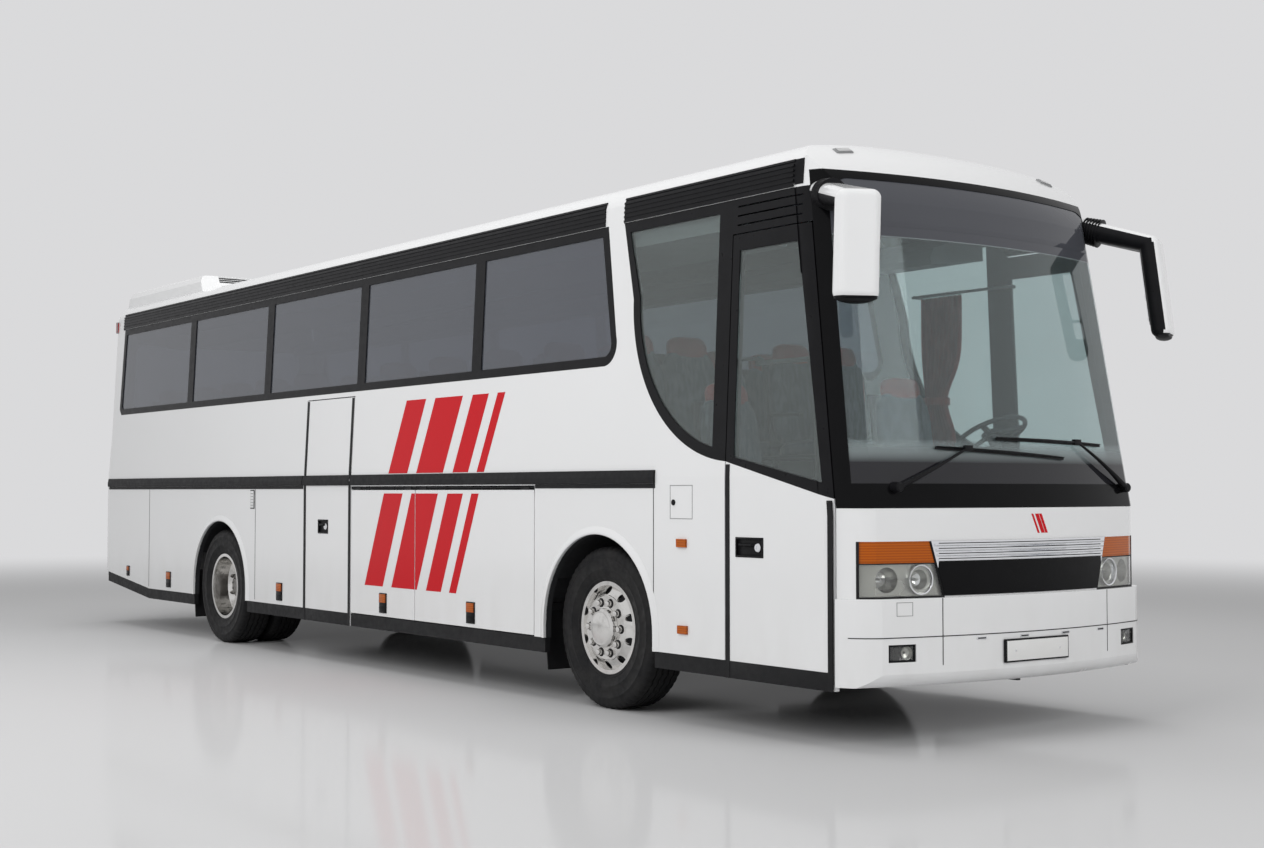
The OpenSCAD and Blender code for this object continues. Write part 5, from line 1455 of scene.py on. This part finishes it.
def makeSeats(s):
    pads, hard = bmesh.new(), bmesh.new()
    deck, cab = s["deck"], s["cab"]
    for i in range(s["rows"]):
        x = s["first"] - i * s["pitch"]
        for side in (-1, 1):
            if side < 0 and midRearX - 0.12 < x < midFrontX + 0.30:
                continue  # the stairs of the middle door
            y = side * s["y"]
            for part in (-1, 1):
                addSeat(pads, hard, x, y + part * s["apart"], deck, s)
            aisle = side * (s["y"] - s["armIn"])
            addTube(hard, [(x + dx, aisle, deck + up) for dx, up in s["arm"]], 0.022, 8, 0, 0.7)
            addBox(hard, (x - 0.17, y - 0.035, deck), (x + 0.11, y + 0.035, deck + 0.012), 1, 0.003)
            for dx in s["legs"]:
                addTube(hard, [(x + dx, y, deck + 0.005), (x + dx * 0.9, y, deck + 0.335)], 0.022, 10, 1)
    for key, wide in (("driver", 1.06), ("guide", 1.0)):
        x, y, lift = s[key]
        addSeat(pads, hard, x, y, cab + lift, s, wide)
        for k in range(s["bellows"]):
            z, inset = cab + 0.06 + 0.075 * k, 0.006 * (k % 2)
            addBox(hard, (x - 0.19 + inset, y - 0.155, z), (x + 0.15 - inset, y + 0.155, z + 0.068), 0,
                   0.012)
        addBox(hard, (x - 0.20, y - 0.16, cab), (x + 0.16, y + 0.16, cab + 0.05), 1, 0.006)
    cushions = finishPiece(pads, "seat_pads", [seatCloth, redCloth], "coach", 60)
    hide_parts("seats")
    finishPiece(hard, "seat_shells_and_legs", [darkPlastic, darkSteel], "coach")


makeSeats(seatSet)


# curtain gathered on a rail by the driver's window, drawn in by a tie
curtainSet = {"x": (xFa + 0.62, xFa + 1.00), "y": 1.085, "top": 2.74, "foot": 1.60, "tie": 2.02,
              "cloth": 1.15, "folds": 9, "across": 126, "rows": 48, "hooks": 10, "pull": 0.52}


def foldDepth(span, cloth, folds):
    # depth of the waves that takes up the cloth's width in the span
    low, high = 0.0, 0.2
    for _ in range(40):
        mid = (low + high) / 2
        steps = 200
        reach = sum(math.hypot(span / steps, mid * (math.sin(2 * math.pi * folds * (k + 1) / steps) -
                                                    math.sin(2 * math.pi * folds * k / steps)))
                    for k in range(steps))
        low, high = (mid, high) if reach < cloth else (low, mid)
    return low


def makeCurtain(s):
    bm = bmesh.new()
    x0, x1 = s["x"]
    table = {}
    grid = []
    for i in range(s["rows"] + 1):
        z = lerp(s["top"], s["foot"], i / s["rows"])
        pull = math.exp(-((z - s["tie"]) / 0.20) ** 2)
        below = max(0.0, min(1.0, (s["tie"] - z) / 0.3))
        span = round((x1 - x0) * (1 - s["pull"] * pull - 0.18 * below * (1 - pull)), 3)
        if span not in table:
            table[span] = foldDepth(span, s["cloth"], s["folds"])
        depth = table[span]
        start = x0 + 0.25 * ((x1 - x0) - span)
        row = []
        for j in range(s["across"] + 1):
            t = j / s["across"]
            row.append(bm.verts.new((start + span * t,
                                     s["y"] + depth * math.sin(2 * math.pi * s["folds"] * t), z)))
        grid.append(row)
    for a, b in zip(grid, grid[1:]):
        for j in range(s["across"]):
            bm.faces.new((a[j], a[j + 1], b[j + 1], b[j]))
    curtain = finishPiece(bm, "driver_curtain", [curtainCloth], "coach", 180)
    bm = bmesh.new()
    y, top, wide = s["y"], s["top"], x1 - x0
    addTube(bm, [(x0 - 0.08, y, top + 0.02), (x1 + 0.45, y, top + 0.02)], 0.010, 12)
    for k in range(s["hooks"]):
        x = lerp(x0, x1, (k + 0.5) / s["hooks"])
        addCollar(bm, (x, y, top + 0.018), (1, 0, 0), 0.012, 0.016, -0.003, 0.003, 16)
    for x in (x0 - 0.06, x1 + 0.40):
        addBox(bm, (x - 0.012, y - 0.008, top + 0.010), (x + 0.012, y + 0.075, top + 0.032), 0, 0.003)
    rail = finishPiece(bm, "curtain_rail", [greyPlastic], "coach")
    bm = bmesh.new()
    mid = x0 + (0.25 * s["pull"] + 0.24) * wide
    half = 0.26 * wide
    addCollar(bm, (0, 0, 0), (0, 0, 1), half, half + 0.003, -0.025, 0.025, 40)
    for v in bm.verts:
        v.co = Vector((mid + v.co.x, y + v.co.y * 0.80, s["tie"] + v.co.z))
    finishPiece(bm, "curtain_tie", [redCloth], "coach")


makeCurtain(curtainSet)


# dash: instrument dials, switch row, vents
dashSet = {"podX": xFront - 0.735, "podY": 0.63, "podZ": 1.47,
           "dials": ((-0.13, 0.055), (0.0, 0.062), (0.13, 0.055)), "switches": 8, "switchY": 0.12,
           "switchPitch": 0.055, "vents": (-0.85, -0.62, -0.40, 0.93), "ventSlats": 4}


def makeDash(s):
    bm = bmesh.new()
    facing = (-0.94, 0, 0.33)
    for dy, r in s["dials"]:
        x, y, z = s["podX"] - 0.012, s["podY"] + dy, s["podZ"]
        dial = [(0, 0.0), (r * 0.86, 0.0), (r * 0.88, 0.006), (r, 0.007), (r, -0.006), (0, -0.006)]
        addLathe(bm, dial, (x, y, z), facing, 32, 1)
        addTube(bm, [(x - 0.004, y, z + 0.001), (x + 0.004, y + r * 0.5, z + r * 0.45)], 0.002, 6, 2)
    for k in range(s["switches"]):
        y = s["switchY"] - s["switchPitch"] * k
        addBox(bm, (xFront - 0.790, y - 0.020, 1.345), (xFront - 0.770, y + 0.020, 1.385), 0, 0.004)
    for y in s["vents"]:
        for k in range(s["ventSlats"]):
            x, z = xFront - 0.70 + k * 0.035, 1.385 - k * 0.0076
            addBox(bm, (x, y - 0.09, z), (x + 0.015, y + 0.09, z + 0.012), 2, 0.002)
    finishPiece(bm, "dash_instruments", [darkPlastic, satin, greyPlastic], "coach")


makeDash(dashSet)
print("interior made")


# pale studio floor that runs into the backdrop, and even soft light
stageSet = {
    "floor": (0.62, 0.62, 0.625), "back": (0.70, 0.70, 0.71), "shine": 0.13, "level": 0.34, "half": 150,
    "fadeFrom": 9.0, "fadeTo": 26.0,
    "lamps": {"key_light": ((5, -12, 8), (0, 0, 1.4), 9.0, 860.0),
              "top_light": ((-1, 0, 11), (-1, 0, 0), 12.0, 720.0),
              "front_light": ((15, 1, 6), (4, 0, 1.4), 6.0, 430.0)},
}


def viewShare(tree):
    # 1 for what is seen, mirrored or looked through, 0 for light
    path = addNode(tree, "ShaderNodeLightPath")
    total = math2(tree, "ADD", path.outputs["Is Camera Ray"], path.outputs["Is Glossy Ray"], True)
    return math2(tree, "ADD", total, path.outputs["Is Transmission Ray"], True)


def makeStage(s):
    mesh = bpy.data.meshes.new("studio_floor")
    h = s["half"]
    mesh.from_pydata([(-h, -h, 0), (h, -h, 0), (h, h, 0), (-h, h, 0)], [], [(0, 1, 2, 3)])
    floor = bpy.data.objects.new("studio_floor", mesh)
    scene.collection.objects.link(floor)
    mat, tree, shader = newMaterial("studio_floor")
    at = place(tree)
    setShader(shader, color=s["floor"], rough=0.9, specular=0.0)
    shine = addNode(tree, "ShaderNodeBsdfGlossy")
    link(tree, spread(tree, noise(tree, at, 0.8, 3.0), 0.08, 0.12), shine, "Roughness")
    polished = mixShader(tree, s["shine"], shader, shine)
    reach = addNode(tree, "ShaderNodeVectorMath", operation="LENGTH")
    tree.links.new(at, reach.inputs[0])
    fade = spread(tree, reach.outputs["Value"], 0.0, 1.0, s["fadeFrom"], s["fadeTo"], "SMOOTHSTEP")
    plain = addNode(tree, "ShaderNodeEmission", Strength=1.0, Color=(*s["back"], 1))
    mix = mixShader(tree, math2(tree, "MULTIPLY", fade, viewShare(tree)), polished, plain)
    tree.links.new(mix.outputs[0], tree.nodes["Material Output"].inputs["Surface"])
    mesh.materials.append(mat)
    world = bpy.data.worlds.new("studio")
    scene.world = world
    world.use_nodes = True
    tree = world.node_tree
    light = tree.nodes["Background"]
    light.inputs["Color"].default_value = (1, 1, 1, 1)
    light.inputs["Strength"].default_value = s["level"]
    seen = addNode(tree, "ShaderNodeBackground", Strength=1.0, Color=(*s["back"], 1))
    mix = mixShader(tree, viewShare(tree), light, seen)
    tree.links.new(mix.outputs[0], tree.nodes["World Output"].inputs["Surface"])
    for name, (where, aim, size, power) in s["lamps"].items():
        data = bpy.data.lights.new(name, "AREA")
        data.energy, data.size = power, size
        lamp = bpy.data.objects.new(name, data)
        lamp.location = where
        lamp.rotation_euler = (Vector(aim) - Vector(where)).to_track_quat("-Z", "Y").to_euler()
        lamp.visible_glossy = False  # no lamp shapes in the glass or on the floor
        scene.collection.objects.link(lamp)


makeStage(stageSet)
print("stage made")
